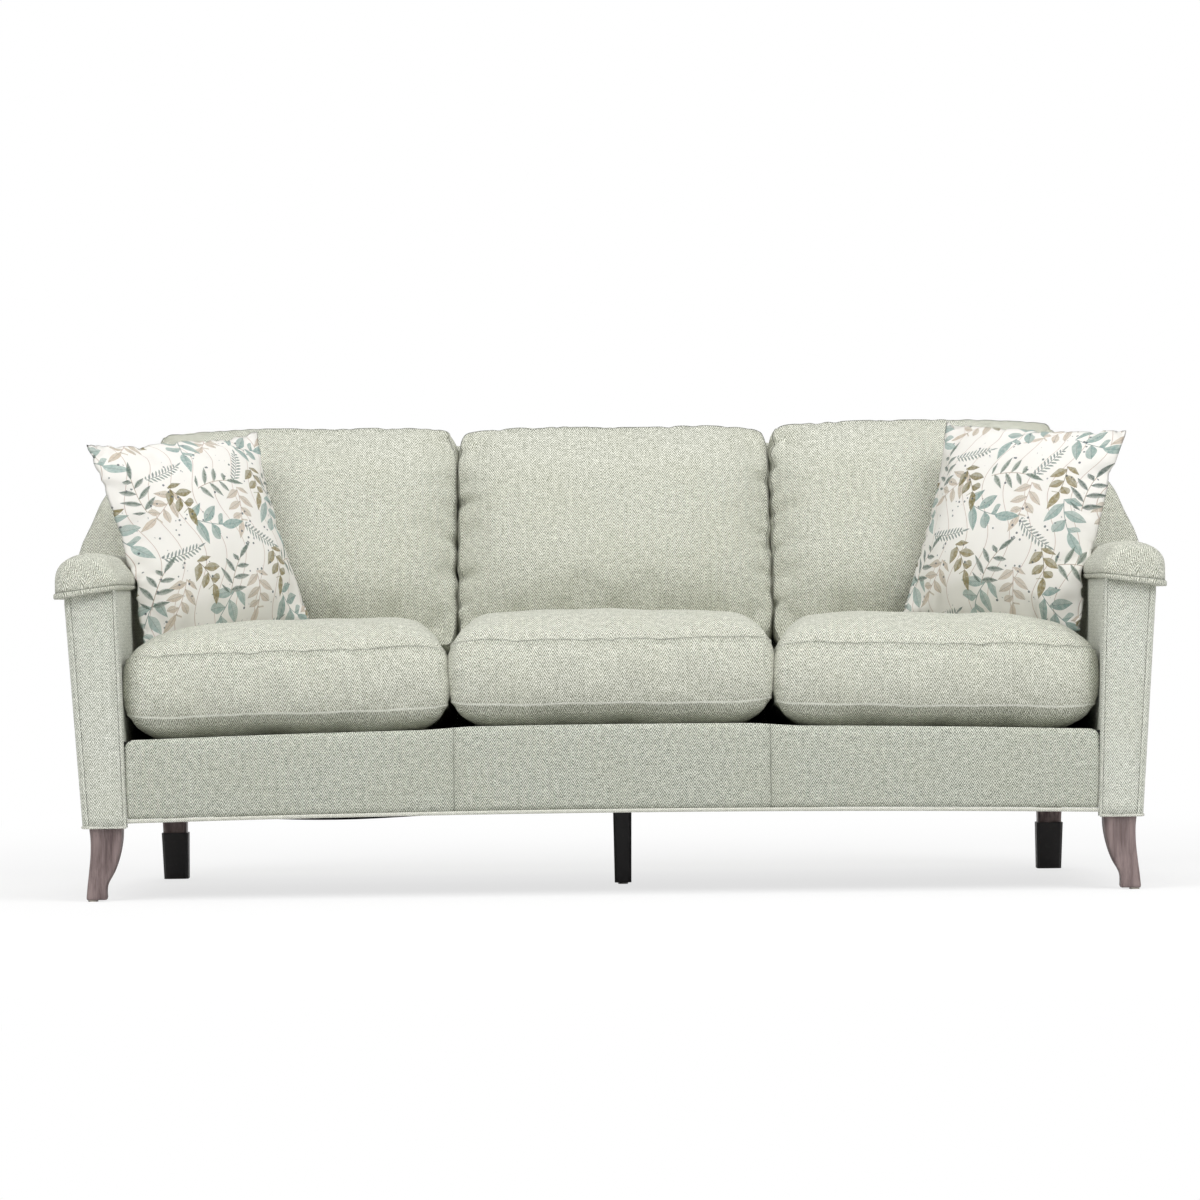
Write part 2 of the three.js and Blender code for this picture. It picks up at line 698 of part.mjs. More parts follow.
// Cushions. The outline is a rectangle with round corners, its sides drawn in between them. The
// foot side has a pull of its own, as a cushion that stands on it presses it straight.
function cushionOutline(width, length, corner, drawIn, footDrawIn = 0) {
  const points = [];
  const halfSizes = [width / 2 - corner, length / 2 - corner];
  for (let side = 0; side < 4; side += 1) {
    const turn = side * Math.PI / 2;
    const [along, out] = side % 2 ? halfSizes : [...halfSizes].reverse();
    const place = (forward, outward) => [
      outward * Math.cos(turn) - forward * Math.sin(turn),
      outward * Math.sin(turn) + forward * Math.cos(turn),
    ];
    for (let step = 0; step <= sideSteps; step += 1) {
      const share = step / sideSteps;
      const pull = (side === 3 ? footDrawIn : drawIn) * Math.sin(share * Math.PI);
      points.push(place(along * (2 * share - 1), out + corner - pull));
    }
    for (let step = 1; step < cornerSteps; step += 1) {
      const angle = step / cornerSteps * Math.PI / 2;
      points.push(place(along + corner * Math.sin(angle), out + corner * Math.cos(angle)));
    }
  }
  return points;
}

// A ring of the outline, drawn towards a centre: height is a number or a function of the point.
function spreadRing(outline, spread, centre, height) {
  return outline.map(([x, y]) => {
    const point = [centre[0] + (x - centre[0]) * spread, centre[1] + (y - centre[1]) * spread];
    return [...point, typeof height === 'function' ? height(...point) : height];
  });
}

function seatCushion(width, length) {
  const outline = cushionOutline(width, length, seatCorner, seatDrawIn, seatDrawIn);
  const middle = [0, 0];
  const apex = [0, -seatApexShare * length];
  const topSeam = seatUnderside + seatBoxing;
  const rings = [
    ...seatUnderShares.map(([spread, up]) => spreadRing(outline, spread, middle, up * seatUnderside)),
    spreadRing(outline, 1, middle, seatUnderside),
    spreadRing(outline, 1, middle, topSeam),
    ...seatTopShares.map((spread) =>
      spreadRing(outline, spread, apex, topSeam + seatCrown * (1 - spread ** seatCrownPower))),
  ];
  return ringBody(rings, [...middle, 0], [...apex, topSeam + seatCrown]);
}

// Drawn lying on its rear face, then stood up: its outline is its width and height.
function backCushion(width, height) {
  const outline = cushionOutline(width, height, backCorner, backDrawIn);
  const middle = [0, 0];
  const apex = [0, -backApexShare * height];
  const boxing = (x, y) => THREE.MathUtils.lerp(backBoxingFoot, backBoxingTop, y / height + 1 / 2);
  const swell = (spread) => backFrontSwell * (1 - spread ** backCrownPower);
  const rings = [
    ...backRearShares.map(([spread, up]) => spreadRing(outline, spread, middle, up * backRearSwell)),
    spreadRing(outline, 1, middle, backRearSwell),
    spreadRing(outline, 1, middle, (x, y) => backRearSwell + boxing(x, y)),
    ...backFrontShares.map((spread) =>
      spreadRing(outline, spread, apex, (x, y) => backRearSwell + boxing(x, y) + swell(spread))),
  ];
  const head = [...apex, backRearSwell + boxing(...apex) + backFrontSwell];
  return ringBody(rings, [...middle, 0], head).rotateX(Math.PI / 2).translate(0, 0, height / 2);
}

function throwPillow() {
  const outline = cushionOutline(pillowSide, pillowSide, pillowCorner, pillowDrawIn);
  const middle = [0, 0];
  const half = pillowThickness / 2;
  const swell = (spread) => half * (1 - spread ** pillowCrownPower) ** pillowFullness;
  const rings = [
    ...pillowShares.map((spread) => spreadRing(outline, spread, middle, -swell(spread))),
    spreadRing(outline, 1, middle, 0),
    ...[...pillowShares].reverse().map((spread) => spreadRing(outline, spread, middle, swell(spread))),
  ];
  return ringBody(rings, [...middle, -half], [...middle, half]).rotateX(Math.PI / 2);
}

// Moves a piece along a direction until it all but touches what it rests on.
function solidAt(mesh) {
  mesh.updateWorldMatrix(true, false);
  return toSolid(mesh.geometry.clone().applyMatrix4(mesh.matrixWorld));
}

function settle(mesh, obstacles, direction, reach, clearance) {
  const solid = solidAt(mesh);
  const way = direction.clone().normalize();
  let clear = 0;
  let blocked = reach;
  for (let step = 0; step < settleSteps; step += 1) {
    const tried = (clear + blocked) / 2;
    const moved = solid.translate(way.clone().multiplyScalar(tried).toArray());
    if (obstacles.some((obstacle) => !moved.intersect(obstacle).isEmpty())) {
      blocked = tried;
    } else {
      clear = tried;
    }
  }
  mesh.position.addScaledVector(way, clear - clearance);
}

const places = { left: -1, centre: 0, right: 1 };

function makeSeatCushions(pad) {
  const width = (2 * armInner(frontRailTop) - 4 * seatSideGap) / 3;
  const front = seatSetback - (frameFront - armFront);
  const seam = padTop + seatUnderside;
  const seamTop = frontRailTop + seam * Math.cos(deckAngle);
  const rearRun = insideBackY(seamTop) - frameFront - seam * Math.sin(deckAngle);
  const rearTurn = Math.cos(deckAngle) + Math.sin(deckAngle) * pitchSine / pitchCosine;
  const rear = rearRun / rearTurn - seatSideGap;
  const length = rear - front;
  const down = new THREE.Vector3(0, -Math.sin(deckAngle), -Math.cos(deckAngle));
  const rest = solidAt(pad);
  return Object.entries(places).map(([side, place]) => {
    const x = place * (width + seatSideGap);
    const start = new THREE.Vector3(x, front + length / 2, padTop + 2 * deckCrown);
    const cushion = add(sofa, `seat_cushion_${side}`, seatCushion(width, length), materials.sageWeave);
    const tilt = Math.atan(2 * deckCrown * x / deckHalfWidth ** 2);
    cushion.position.copy(start.applyMatrix4(deck.matrixWorld));
    cushion.rotation.set(-deckAngle, tilt, 0);
    settle(cushion, [rest], down, settleReach, touchGap);
    return cushion;
  });
}

function makeBackCushions(seats) {
  const inside = armInner(armTop) - capInnerOverhang;
  const width = (2 * inside - 4 * backSideGap) / 3;
  const down = new THREE.Vector3(0, -pitchSine, -pitchCosine);
  const rest = seats.map(solidAt);
  const seatTop = frontRailTop + padTop + 2 * deckCrown + seatUnderside + seatBoxing + seatCrown;
  const lift = upBack(seatTop, backDepth);
  return Object.entries(places).map(([side, place]) => {
    const x = place * (width + backSideGap);
    const start = new THREE.Vector3(x, -backDepth - backRearGap, lift);
    const cushion = add(sofa, `back_cushion_${side}`, backCushion(width, backCushionHeight),
      materials.sageWeave);
    cushion.position.copy(start.applyMatrix4(back.matrixWorld));
    cushion.rotation.x = -radians(backPitch);
    settle(cushion, rest, down, 2 * settleReach, touchGap);
    return cushion;
  });
}

// The pillows lean in the corners: against the arm, then the back cushion, then down on the seat.
function makePillows(seats, backs) {
  const arms = ['arm_cap_left', 'arm_cap_right', 'arm_inner_panel_left', 'arm_inner_panel_right']
    .map((name) => solidAt(sofa.getObjectByName(name)));
  const rests = [...seats, ...backs].map(solidAt);
  const upBackWay = new THREE.Vector3(0, pitchSine, pitchCosine);
  const lifted = [1, 2, 3].flatMap((place) => backs.map((cushion) => {
    const way = upBackWay.clone().multiplyScalar(place * backFrontSwell);
    return solidAt(cushion).translate(way.toArray());
  }));
  Object.entries(pillowTurns).forEach(([side, { yaw, lean, roll }]) => {
    const pillow = add(sofa, `throw_pillow_${side}`, throwPillow(), materials.print);
    const outward = places[side];
    pillow.rotation.order = 'ZXY';
    pillow.rotation.set(-radians(lean), radians(roll), radians(yaw));
    const start = wellHalfWidth - pillowSide / 2 - pillowInset;
    pillow.position.set(outward * start, -pillowForward - settleReach, pillowUp);
    settle(pillow, arms, new THREE.Vector3(outward, 0, 0), 2 * settleReach, pillowGap);
    settle(pillow, [...rests, ...lifted], new THREE.Vector3(0, 1, 0), 2 * settleReach, pillowGap);
    settle(pillow, [...rests, ...arms], new THREE.Vector3(0, 0, -1), pillowDrop, touchGap);
  });
}

makeFrame();
makeBack();
makeArms();
makeSprings();
const deckPad = makeDeckPad();
makeBorder();
makeDustCover();
makeFrontLegs();
makeRearLegs();
makeCentreLeg();
const seatCushions = makeSeatCushions(deckPad);
const backCushions = makeBackCushions(seatCushions);
makePillows(seatCushions, backCushions);

export default sofa;
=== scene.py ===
"""A camelback sofa in sage herringbone with two printed pillows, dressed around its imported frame."""

import json
import math

import bmesh
import bpy
import numpy as np
from mathutils import Matrix, Vector
from mathutils.geometry import delaunay_2d_cdt


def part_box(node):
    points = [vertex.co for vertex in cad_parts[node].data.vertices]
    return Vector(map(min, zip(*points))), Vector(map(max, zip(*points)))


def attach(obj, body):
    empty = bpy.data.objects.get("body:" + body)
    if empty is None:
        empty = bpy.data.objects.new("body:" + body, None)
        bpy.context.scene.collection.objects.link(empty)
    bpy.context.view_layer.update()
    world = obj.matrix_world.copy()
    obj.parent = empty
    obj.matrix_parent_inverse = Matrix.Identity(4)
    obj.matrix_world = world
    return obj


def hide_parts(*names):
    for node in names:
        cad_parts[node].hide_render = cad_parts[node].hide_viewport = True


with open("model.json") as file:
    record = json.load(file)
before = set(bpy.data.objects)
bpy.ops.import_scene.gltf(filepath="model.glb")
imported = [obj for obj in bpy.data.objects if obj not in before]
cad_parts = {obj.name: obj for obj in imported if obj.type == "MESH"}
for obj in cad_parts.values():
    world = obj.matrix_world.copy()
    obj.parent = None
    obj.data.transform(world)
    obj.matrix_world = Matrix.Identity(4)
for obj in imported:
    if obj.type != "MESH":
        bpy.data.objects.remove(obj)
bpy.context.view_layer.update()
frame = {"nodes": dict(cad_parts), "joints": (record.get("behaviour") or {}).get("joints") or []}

# Camera: a level view from in front, a little to the left, with the roll of a hand-held camera
EYE_HEIGHT = 0.578
EYE_DISTANCE = 9.5
EYE_ASIDE = -0.020
EYE_ROLL = math.radians(-0.70)
LENS = 145.8

# How near points of the frame count as one place, and as one level
SAME_PLACE = 2e-4
SAME_LEVEL = 1e-4

# Cloth mesh, the relief beside its seams, and how the cushions are blown up
CELL = 0.013
PANEL_CELL = 0.020
EDGE_CELL = 0.012
SKIN = 0.010
ON_SEAM = 1e-6
SEAM_SHARPNESS = 0.75
SEAM_RIDGE = 0.0011
RIDGE_REACH = 0.003
SEAM_GROOVE = 0.0016
GROOVE_PLACE = 0.007
GROOVE_REACH = 0.0055
SWELL_FRAMES = 20
SWELL = {"quality": 5, "mass": 0.3, "air_damping": 6, "tension_stiffness": 18,
         "compression_stiffness": 18, "shear_stiffness": 6, "bending_stiffness": 0.6,
         "use_pressure": True, "vertex_group_mass": "seams"}

# Seat cushions: where their two seams lie, as shares of the cushion's height
SEAT_FOOT_SEAM = 0.167
SEAT_TOP_SEAM = 0.709
SEAT_CORNER = 0.032
SEAT_DRAW = 0.004
SEAT_FRONT_BULGE = 0.007
SEAT_SEAM_LIFT = 0.008
SEAT_SEAM_DIP = 0.008
SEAT_WRINKLES = 9
SEAT_WRINKLE_DEPTH = 0.0052
SIDE_SETTLE = 0.005
SEAT_TILT = math.radians(1.28)

# Back cushions
BACK_REAR_SWELL = 0.026
BACK_BOXING_FOOT = 0.104
BACK_BOXING_TOP = 0.070
BACK_CORNER = 0.044
BACK_DRAW = 0.001
BACK_EAR_INSET = 0.01
BACK_FOOT_EAR = (-1, 0.013, 0.030)
BACK_TOP_EAR = (1, -0.0065, 0.018)
BACK_CROWD = {"left": (0, 0), "centre": (0, 0.022), "right": (0.022, 0)}
BACK_RISE = {"left": 0.006, "centre": 0.001, "right": 0.010}
BACK_ARCH = 0.010
BACK_FOLDS = 8
BACK_FOLD_DEPTH = 0.0034

# Throw pillows: their turns are the same as in the frame
PILLOW_TURNS = {"left": (39, 18, -6), "right": (-34, 16.5, 6)}
PILLOW_CELL = 0.010
PILLOW_DRAW = 0.016
PILLOW_CORNER = 0.004
PILLOW_DROOP = 0.012
PILLOW_FULLER = 1.035
PILLOW_ASIDE = {"left": 0.014, "right": 0.018}
PILLOW_GAP = 0.0015

# Arms: the outer cover turns the front corner in a wide round, the inner one in a tight one
ARM_ROUND = {"outer": 0.012, "inner": 0.004}
ARM_SEAM_INSET = {"outer": 0.0135, "inner": 0.006}
ARM_COVER_RISE = {"outer": 0.012, "inner": 0.021}
# ARM_SEAM_FAINT moves the arm seams' mark off the seam, so their painted ditch shade is fainter
ARM_SEAM_FAINT = 0.0008
ARM_TUCK = 0.0009
ARM_FRONT_DEPTH = 0.009
ARM_FRONT_CROWN = 0.0012
ARM_UNDER_CAP = 0.0016
ARM_STUB = 0.012
ARM_FLANK_POINTS = 42
CAP_NOSE = 0.026
CAP_NOSE_REACH = 1.5
CAP_NOSE_LEAN = 0.006
CAP_CORNER = 0.030
CAP_HEM = 0.012
CAP_HEM_STAND = 0.0028
CAP_HEM_RISE = 0.021
CAP_TUCK_IN = 0.006
CAP_BOW = 0.0012
FOOT_WELT_RADIUS = 0.003

# Back, border and deck
BACK_CELL = 0.026
BACK_LOOP_CELL = 0.014
BACK_CROWN = 0.0012
BAND_CROWN = 0.0022
BAND_INSET = 0.0016
BAND_OVER = 0.0006
BORDER_TALL = 0.140
BORDER_SEAM = 0.310
BORDER_ROUND = 0.010
BORDER_ROLL = 0.024
BORDER_CORNER = 0.024
BORDER_CROWN = 0.003
BORDER_DITCH = 0.0014
BORDER_DIMPLE = 0.0007
# Room behind the border for the black sheet that stands in for the shade there (painted shade)
SHADE_SHEET_ROOM = 0.0006
DECK_LIP = 0.075
DECK_ROLL = 0.012
DECK_END_DROP = 0.018
DECK_DIP = 0.0015
MEET_GAP = 0.0012
TUCK = 0.0008
DUST_THICK = 0.0022
DUST_SAG = 0.0135
DUST_WAVE = 0.0012

# Front legs: narrower rings belong to the stud
LEG_STUD = 0.012
LEG_SQUARENESS = 2 / 7
LEG_FOOT_TAPER = 0.93

# Weave
HERRINGBONE_COLUMN = 0.0085
HERRINGBONE_PITCH = 0.0068
HERRINGBONE_LEAN = 1.75
PRINT_CELL = 0.182
THREAD = 0.0011

SIDES = {"left": -1, "right": 1}
PLACES = {"left": -1, "centre": 0, "right": 1}
SEED = 20
WORLD_LIGHT = 0.31


# Places taken from the frame


def slide_axis(joint):
    return Vector(next(j["axis"] for j in frame["joints"] if j["name"] == joint))


def read(items, label, width=3):
    """What is held of each of a row of items: rows of numbers, or plain numbers."""
    values = np.empty(len(items) * width)
    items.foreach_get(label, values)
    return values if width == 1 else values.reshape(-1, width)


def node_points(node, space=None):
    """The corner points of a node in a space of its own, as rows of x, y, z."""
    points = read(frame["nodes"][node].data.vertices, "co")
    if space is None:
        return points
    inverse = np.array(space.inverted())
    return points @ inverse[:3, :3].T + inverse[:3, 3]


def reach_of(node, space):
    """The lowest and the highest corner of a node in that space."""
    points = node_points(node, space)
    return points.min(axis=0), points.max(axis=0)


def boundary(rings):
    """The corners round a patch of faces, in order, from the lowest of them."""
    uses = {}
    for ring in rings:
        for edge in zip(ring, ring[1:] + ring[:1]):
            uses.setdefault(frozenset(edge), []).append(edge)
    beside = dict(edges[0][::-1] for edges in uses.values() if len(edges) == 1)
    walk = [min(beside)]
    while len(walk) < len(beside):
        walk.append(beside[walk[-1]])
    return walk


def outline_of(node, space, rear=False):
    """The ordered outline of a piece's flat front or rear face: rows of x and z in that space."""
    points = node_points(node, space)
    level = points[:, 1].max() if rear else points[:, 1].min()
    keys = [tuple(np.round(p, 5)) for p in points]
    walk = boundary([keys[v] for v in face.vertices] for face in frame["nodes"][node].data.polygons
                    if all(abs(points[v][1] - level) < SAME_LEVEL for v in face.vertices))
    return np.array([[p[0], p[2]] for p in walk])


def profile(points, pick):
    """The places along x where points stand, and the lowest or highest of them at each."""
    xs = np.unique(np.round(points[:, 0], 4))
    return xs, [pick(points[np.abs(points[:, 0] - x) < SAME_PLACE, 2]) for x in xs]


lift = slide_axis("back_cushion_centre_lift_out")
pull = slide_axis("seat_cushion_centre_pull_out")
BACK_SPACE = Matrix.Rotation(-math.atan2(lift.y, lift.z), 4, "X")
DECK_SPACE = Matrix.Rotation(-math.atan2(pull.z, -pull.y), 4, "X")
UPRIGHT = Matrix.Rotation(math.pi / 2, 4, "X")


# Cloth meshes


def add_object(name, data):
    made = bpy.data.objects.new(name, data)
    bpy.context.scene.collection.objects.link(made)
    return made


def sew(mesh, join=False):
    """Turns the faces of a skin outward. join makes one point of those that lie on each other."""
    skin = bmesh.new()
    skin.from_mesh(mesh)
    if join:
        bmesh.ops.remove_doubles(skin, verts=skin.verts, dist=2e-6)
    bmesh.ops.recalc_face_normals(skin, faces=skin.faces)
    skin.to_mesh(mesh)
    skin.free()


class Cloth:
    """Gathers the panels of one sewn piece: points, faces and cloth coordinates in metres."""

    def __init__(self):
        self.points, self.faces, self.weave, self.count = [], [], [], 0
        self.marks = {"seam": [], "edging": []}

    def place(self, points, seam=1.0, edging=1.0):
        """Adds a grid of points and gives their numbers.

        seam is each point's distance from a seam, and edging its distance from one with a pale edge.
        """
        rows = points.reshape(-1, 3)
        numbers = np.arange(self.count, self.count + len(rows)).reshape(points.shape[:-1])
        self.points.append(rows)
        self.count += len(rows)
        for label, distance in (("seam", seam), ("edging", edging)):
            self.marks[label].append(np.broadcast_to(distance, numbers.shape).ravel())
        return numbers

    def panel(self, numbers, weave):
        """Joins a grid of points with faces. weave is the cloth coordinate of each of them."""
        for grid, store in ((numbers, self.faces), (weave, self.weave)):
            corners = np.stack([grid[:-1, :-1], grid[1:, :-1], grid[1:, 1:], grid[:-1, 1:]], axis=2)
            store.append(corners.reshape(-1, *corners.shape[2:]))

    def build(self, name, material, space=None):
        rings, corners = [], []
        faces, weave = np.concatenate(self.faces).tolist(), np.concatenate(self.weave).tolist()
        for face, places in zip(faces, weave):
            ring = [k for k in range(4) if face[k] != face[k - 1]]
            if len(ring) > 2:
                rings.append([face[k] for k in ring])
                corners += [places[k] for k in ring]
        mesh = bpy.data.meshes.new(name)
        mesh.from_pydata(np.concatenate(self.points).tolist(), [], rings)
        layer = mesh.uv_layers.new(name="weave")
        layer.data.foreach_set("uv", np.array(corners, dtype=np.float32).ravel())
        for label, parts in self.marks.items():
            mark = mesh.attributes.new(label, "FLOAT", "POINT")
            mark.data.foreach_set("value", np.concatenate(parts).astype(np.float32))
        sew(mesh)
        mesh.shade_smooth()
        mesh.materials.append(material)
        if space is not None:
            mesh.transform(space)
        return add_object(name, mesh)


def smooth_step(x):
    x = np.clip(x, 0, 1)
    return x * x * (3 - 2 * x)


def bell(x):
    return np.exp(-x * x)


def dome(u, v, power_u, power_v, fullness):
    return ((1 - np.abs(u) ** power_u) * (1 - np.abs(v) ** power_v)) ** fullness


def rolled(radius, inward):
    """How far an edge of that radius falls back at a distance inward from it."""
    return radius - np.sqrt(radius**2 - np.maximum(radius - inward, 0) ** 2)


def quarter_round(count):
    """How far a quarter turn has gone, as shares of its radius: away from its start, and to its end."""
    angles = np.linspace(0, math.pi / 2, count)
    return 1 - np.cos(angles), 1 - np.sin(angles)


def spaced(length, cell=CELL):
    """Places from 0 to a length in even steps, as shares from 0 to 1."""
    return np.linspace(0, 1, max(2, round(length / cell)) + 1)


def grid_of(*parts):
    """Points, or cloth coordinates, from separate coordinates that are spread over one grid."""
    return np.stack(np.broadcast_arrays(*parts), axis=-1)


def length_along(points):
    """How far along its line each point lies. In a grid, each row is a line."""
    steps = np.linalg.norm(np.diff(points, axis=-2), axis=-1)
    return np.concatenate([0 * steps[..., :1], np.cumsum(steps, axis=-1)], axis=-1)


def even_run(points, step):
    """The same line with points at even steps along it."""
    along = length_along(points)
    even = np.linspace(0, along[-1], round(along[-1] / step) + 1)
    return np.column_stack([np.interp(even, along, column) for column in points.T])


def rounded(x, y, half_x, half_y, corner):
    """Moves the points of a rectangular grid onto a rectangle with round corners."""
    over_x = np.maximum(np.abs(x) - (half_x - corner), 0)
    over_y = np.maximum(np.abs(y) - (half_y - corner), 0)
    reach = np.hypot(over_x, over_y)
    scale = np.where(reach > 0, np.maximum(over_x, over_y) / np.maximum(reach, 1e-9), 1)
    return x - np.sign(x) * over_x * (1 - scale), y - np.sign(y) * over_y * (1 - scale)


def edge_loop(grid):
    """The outer loop of a grid, in order, closed by its first point."""
    return np.concatenate([grid[0, :-1], grid[:-1, -1], grid[-1, :0:-1], grid[::-1, 0]])


def boxed_cushion(half, corner, draw, low, high, rear, front, bulge):
    """A cushion of two crowned panels and a boxing between them.

    half is its half width and half length. low and high give the height of its two seams at a
    place, rear and front how far the panels stand out from them, and bulge how far the boxing does.
    """
    cloth = Cloth()
    u, v = np.meshgrid(*(2 * spaced(2 * reach) - 1 for reach in half))
    x, y = rounded(u * half[0], v * half[1], *half, corner)
    drawn_x = x * (1 - draw[0] / half[0] * (1 - v**2) * np.abs(u) ** 3)
    drawn_y = y * (1 - np.where(v < 0, draw[1], draw[2]) / half[1] * (1 - u**2) * np.abs(v) ** 3)
    edge = np.minimum((1 - np.abs(u)) * half[0], (1 - np.abs(v)) * half[1])
    low_z, high_z = low(x, y), high(x, y)
    top = cloth.place(grid_of(drawn_x, drawn_y, high_z + front(u, v)), edge)
    foot = cloth.place(grid_of(drawn_x, drawn_y, low_z - rear(u, v)), edge, edge)
    cloth.panel(top, grid_of(x, y))
    cloth.panel(foot, grid_of(x, y) + (0.37, 0.19))
    loop = edge_loop(grid_of(drawn_x, drawn_y))
    foot_z, tall = edge_loop(low_z), edge_loop(high_z - low_z)
    outward = grid_of(np.gradient(loop[:, 1]), -np.gradient(loop[:, 0]))
    outward *= (bulge(*loop.T) / np.hypot(*outward.T))[:, None]
    heights = spaced(tall.max())
    bands = [edge_loop(foot)]
    for share in heights[1:-1]:
        ring = loop + outward * math.sin(math.pi * share) ** 0.8
        ring = np.column_stack([ring, foot_z + tall * share])[:-1]
        numbers = cloth.place(ring, min(share, 1 - share) * tall[:-1], share * tall[:-1])
        bands.append(np.append(numbers, numbers[0]))
    bands.append(edge_loop(top))
    weave = grid_of(length_along(loop) + 0.11, heights[:, None] * np.median(tall))
    cloth.panel(np.stack(bands), weave)
    return cloth


def knife_edged_pillow(half, crown, droop):
    """Two crowned panels that share one seam. droop lowers the upper corner on the side of its sign."""
    cloth = Cloth()
    share = 2 * spaced(2 * half, PILLOW_CELL) - 1
    u, v = np.meshgrid(share, share)
    x, y = rounded(u * half, v * half, half, half, PILLOW_CORNER)
    x = x * (1 - PILLOW_DRAW / half * (1 - v**2) * u**2)
    y = y * (1 - PILLOW_DRAW / half * (1 - u**2) * (v > 0) * v**2)
    y = y - abs(droop) * smooth_step(np.sign(droop) * u + v - 1)
    edge = (1 - np.maximum(np.abs(u), np.abs(v))) * half
    rise = crown * dome(u, v, 2.4, 2.4, 0.72)
    weave = grid_of(u, v) * half
    front, back = (cloth.place(grid_of(x, y, z), edge) for z in (rise, -rise))
    back[[0, -1]], back[:, [0, -1]] = front[[0, -1]], front[:, [0, -1]]
    cloth.panel(front, weave)
    cloth.panel(back, weave + (0.61, 0.27))
    return cloth


def rim(cloth, shown, hidden, face, back):
    """Closes the edge between the shown and the hidden side of a panel."""
    depth = np.linalg.norm(back - face, axis=1)
    cloth.panel(np.stack([shown, hidden]), grid_of(length_along(face), np.stack([0 * depth, depth])))


def two_sided(face, hidden, weave, seam=1.0):
    """A thick closed panel. face is a grid of its shown side, hidden the same grid of its other side."""
    cloth = Cloth()
    front, back = cloth.place(face, seam), cloth.place(hidden)
    cloth.panel(front, weave)
    cloth.panel(back, weave)
    rim(cloth, *(edge_loop(grid) for grid in (front, back, face, hidden)))
    return cloth


def closed_rings(rings, weave):
    """A round body: a skin over rings of points, closed at each end by a fan round its middle."""
    cloth = Cloth()
    numbers = cloth.place(rings)
    numbers = np.concatenate([numbers, numbers[:, :1]], axis=1)
    cloth.panel(numbers, weave)
    for row in (0, -1):
        hub = cloth.place(rings[row].mean(axis=0)[None])
        cloth.panel(np.stack([numbers[row], np.full_like(numbers[row], hub[0])]),
                    np.stack([weave[row], weave[row]]))
    return cloth


def points_of(piece):
    return read(piece.data.vertices, "co")


def set_points(piece, points):
    piece.data.vertices.foreach_set("co", points.astype(np.float32).ravel())
    piece.data.update()


def distance_from(piece, label):
    """How far each point is from the seams with that label."""
    return read(piece.data.attributes[label].data, "value", 1)


def apply_modifiers(piece):
    old = piece.data
    made = bpy.data.meshes.new_from_object(piece.evaluated_get(bpy.context.evaluated_depsgraph_get()))
    name = old.name
    piece.modifiers.clear()
    piece.data = made
    bpy.data.meshes.remove(old)
    made.name = name
    made.shade_smooth()


def subdivide(piece, crease=True):
    """Subdivides a piece, with its seams kept sharp."""
    if crease:
        seam = distance_from(piece, "seam")
        layer = piece.data.attributes.new("crease_edge", "FLOAT", "EDGE")
        layer.data.foreach_set("value", [SEAM_SHARPNESS * (max(seam[v] for v in edge.vertices) < ON_SEAM)
                                         for edge in piece.data.edges])
    finer = piece.modifiers.new("finer", "SUBSURF")
    finer.levels = finer.render_levels = 1
    finer.uv_smooth = "NONE"
    apply_modifiers(piece)


def displace(piece, amount):
    """Moves each point along its normal."""
    set_points(piece, points_of(piece) + read(piece.data.vertex_normals, "vector") * amount[:, None])


def seam_relief(seam):
    """The rolled edge of a seam and the groove on either side of it."""
    groove = SEAM_GROOVE * bell((seam - GROOVE_PLACE) / GROOVE_REACH)
    return SEAM_RIDGE * bell(seam / RIDGE_REACH) - groove


def gathers(along, distance, rng, pitch, depth, reach):
    """Short furrows that run away from a seam, at uneven places along it."""
    low, high = along.min(), along.max()
    amount = np.zeros_like(along)
    for _ in range(int((high - low) / pitch)):
        place = rng.uniform(low, high)
        width = pitch * rng.uniform(0.18, 0.4)
        far = reach * rng.uniform(0.5, 1.4)
        strong = depth * rng.uniform(0.3, 1.0)
        amount -= strong * bell((along - place) / width) * np.exp(-distance / far)
    return amount


def soft_waves(points, rng, size, height, count=14):
    """A slow unevenness over a whole piece, as stuffing gives."""
    amount = np.zeros(len(points))
    for _ in range(count):
        way = rng.normal(size=3)
        way /= np.linalg.norm(way)
        turn = math.tau / (size * rng.uniform(0.6, 1.6))
        amount += np.sin(points @ way * turn + rng.uniform(0, math.tau))
    return amount * height / math.sqrt(count)


def swell(piece, pressure, slack, most):
    """Lets the cloth of a cushion swell between its seams, which stay where they are."""
    before = points_of(piece)
    held = piece.vertex_groups.new(name="seams")
    held.add(np.flatnonzero(distance_from(piece, "seam") < ON_SEAM).tolist(), 1.0, "REPLACE")
    cloth = piece.modifiers.new("swell", "CLOTH")
    for label, value in SWELL.items():
        setattr(cloth.settings, label, value)
    cloth.settings.uniform_pressure_force = pressure
    cloth.settings.shrink_min = -slack
    cloth.settings.effector_weights.gravity = 0
    cloth.collision_settings.use_collision = False
    cloth.point_cache.frame_end = SWELL_FRAMES
    scene = bpy.context.scene
    for step in range(1, SWELL_FRAMES + 1):
        scene.frame_set(step)
    apply_modifiers(piece)
    scene.frame_set(1)
    moved = points_of(piece) - before
    length = np.linalg.norm(moved, axis=1, keepdims=True)
    set_points(piece, before + moved * np.minimum(1, most / np.maximum(length, 1e-9)))


# Shader nodes


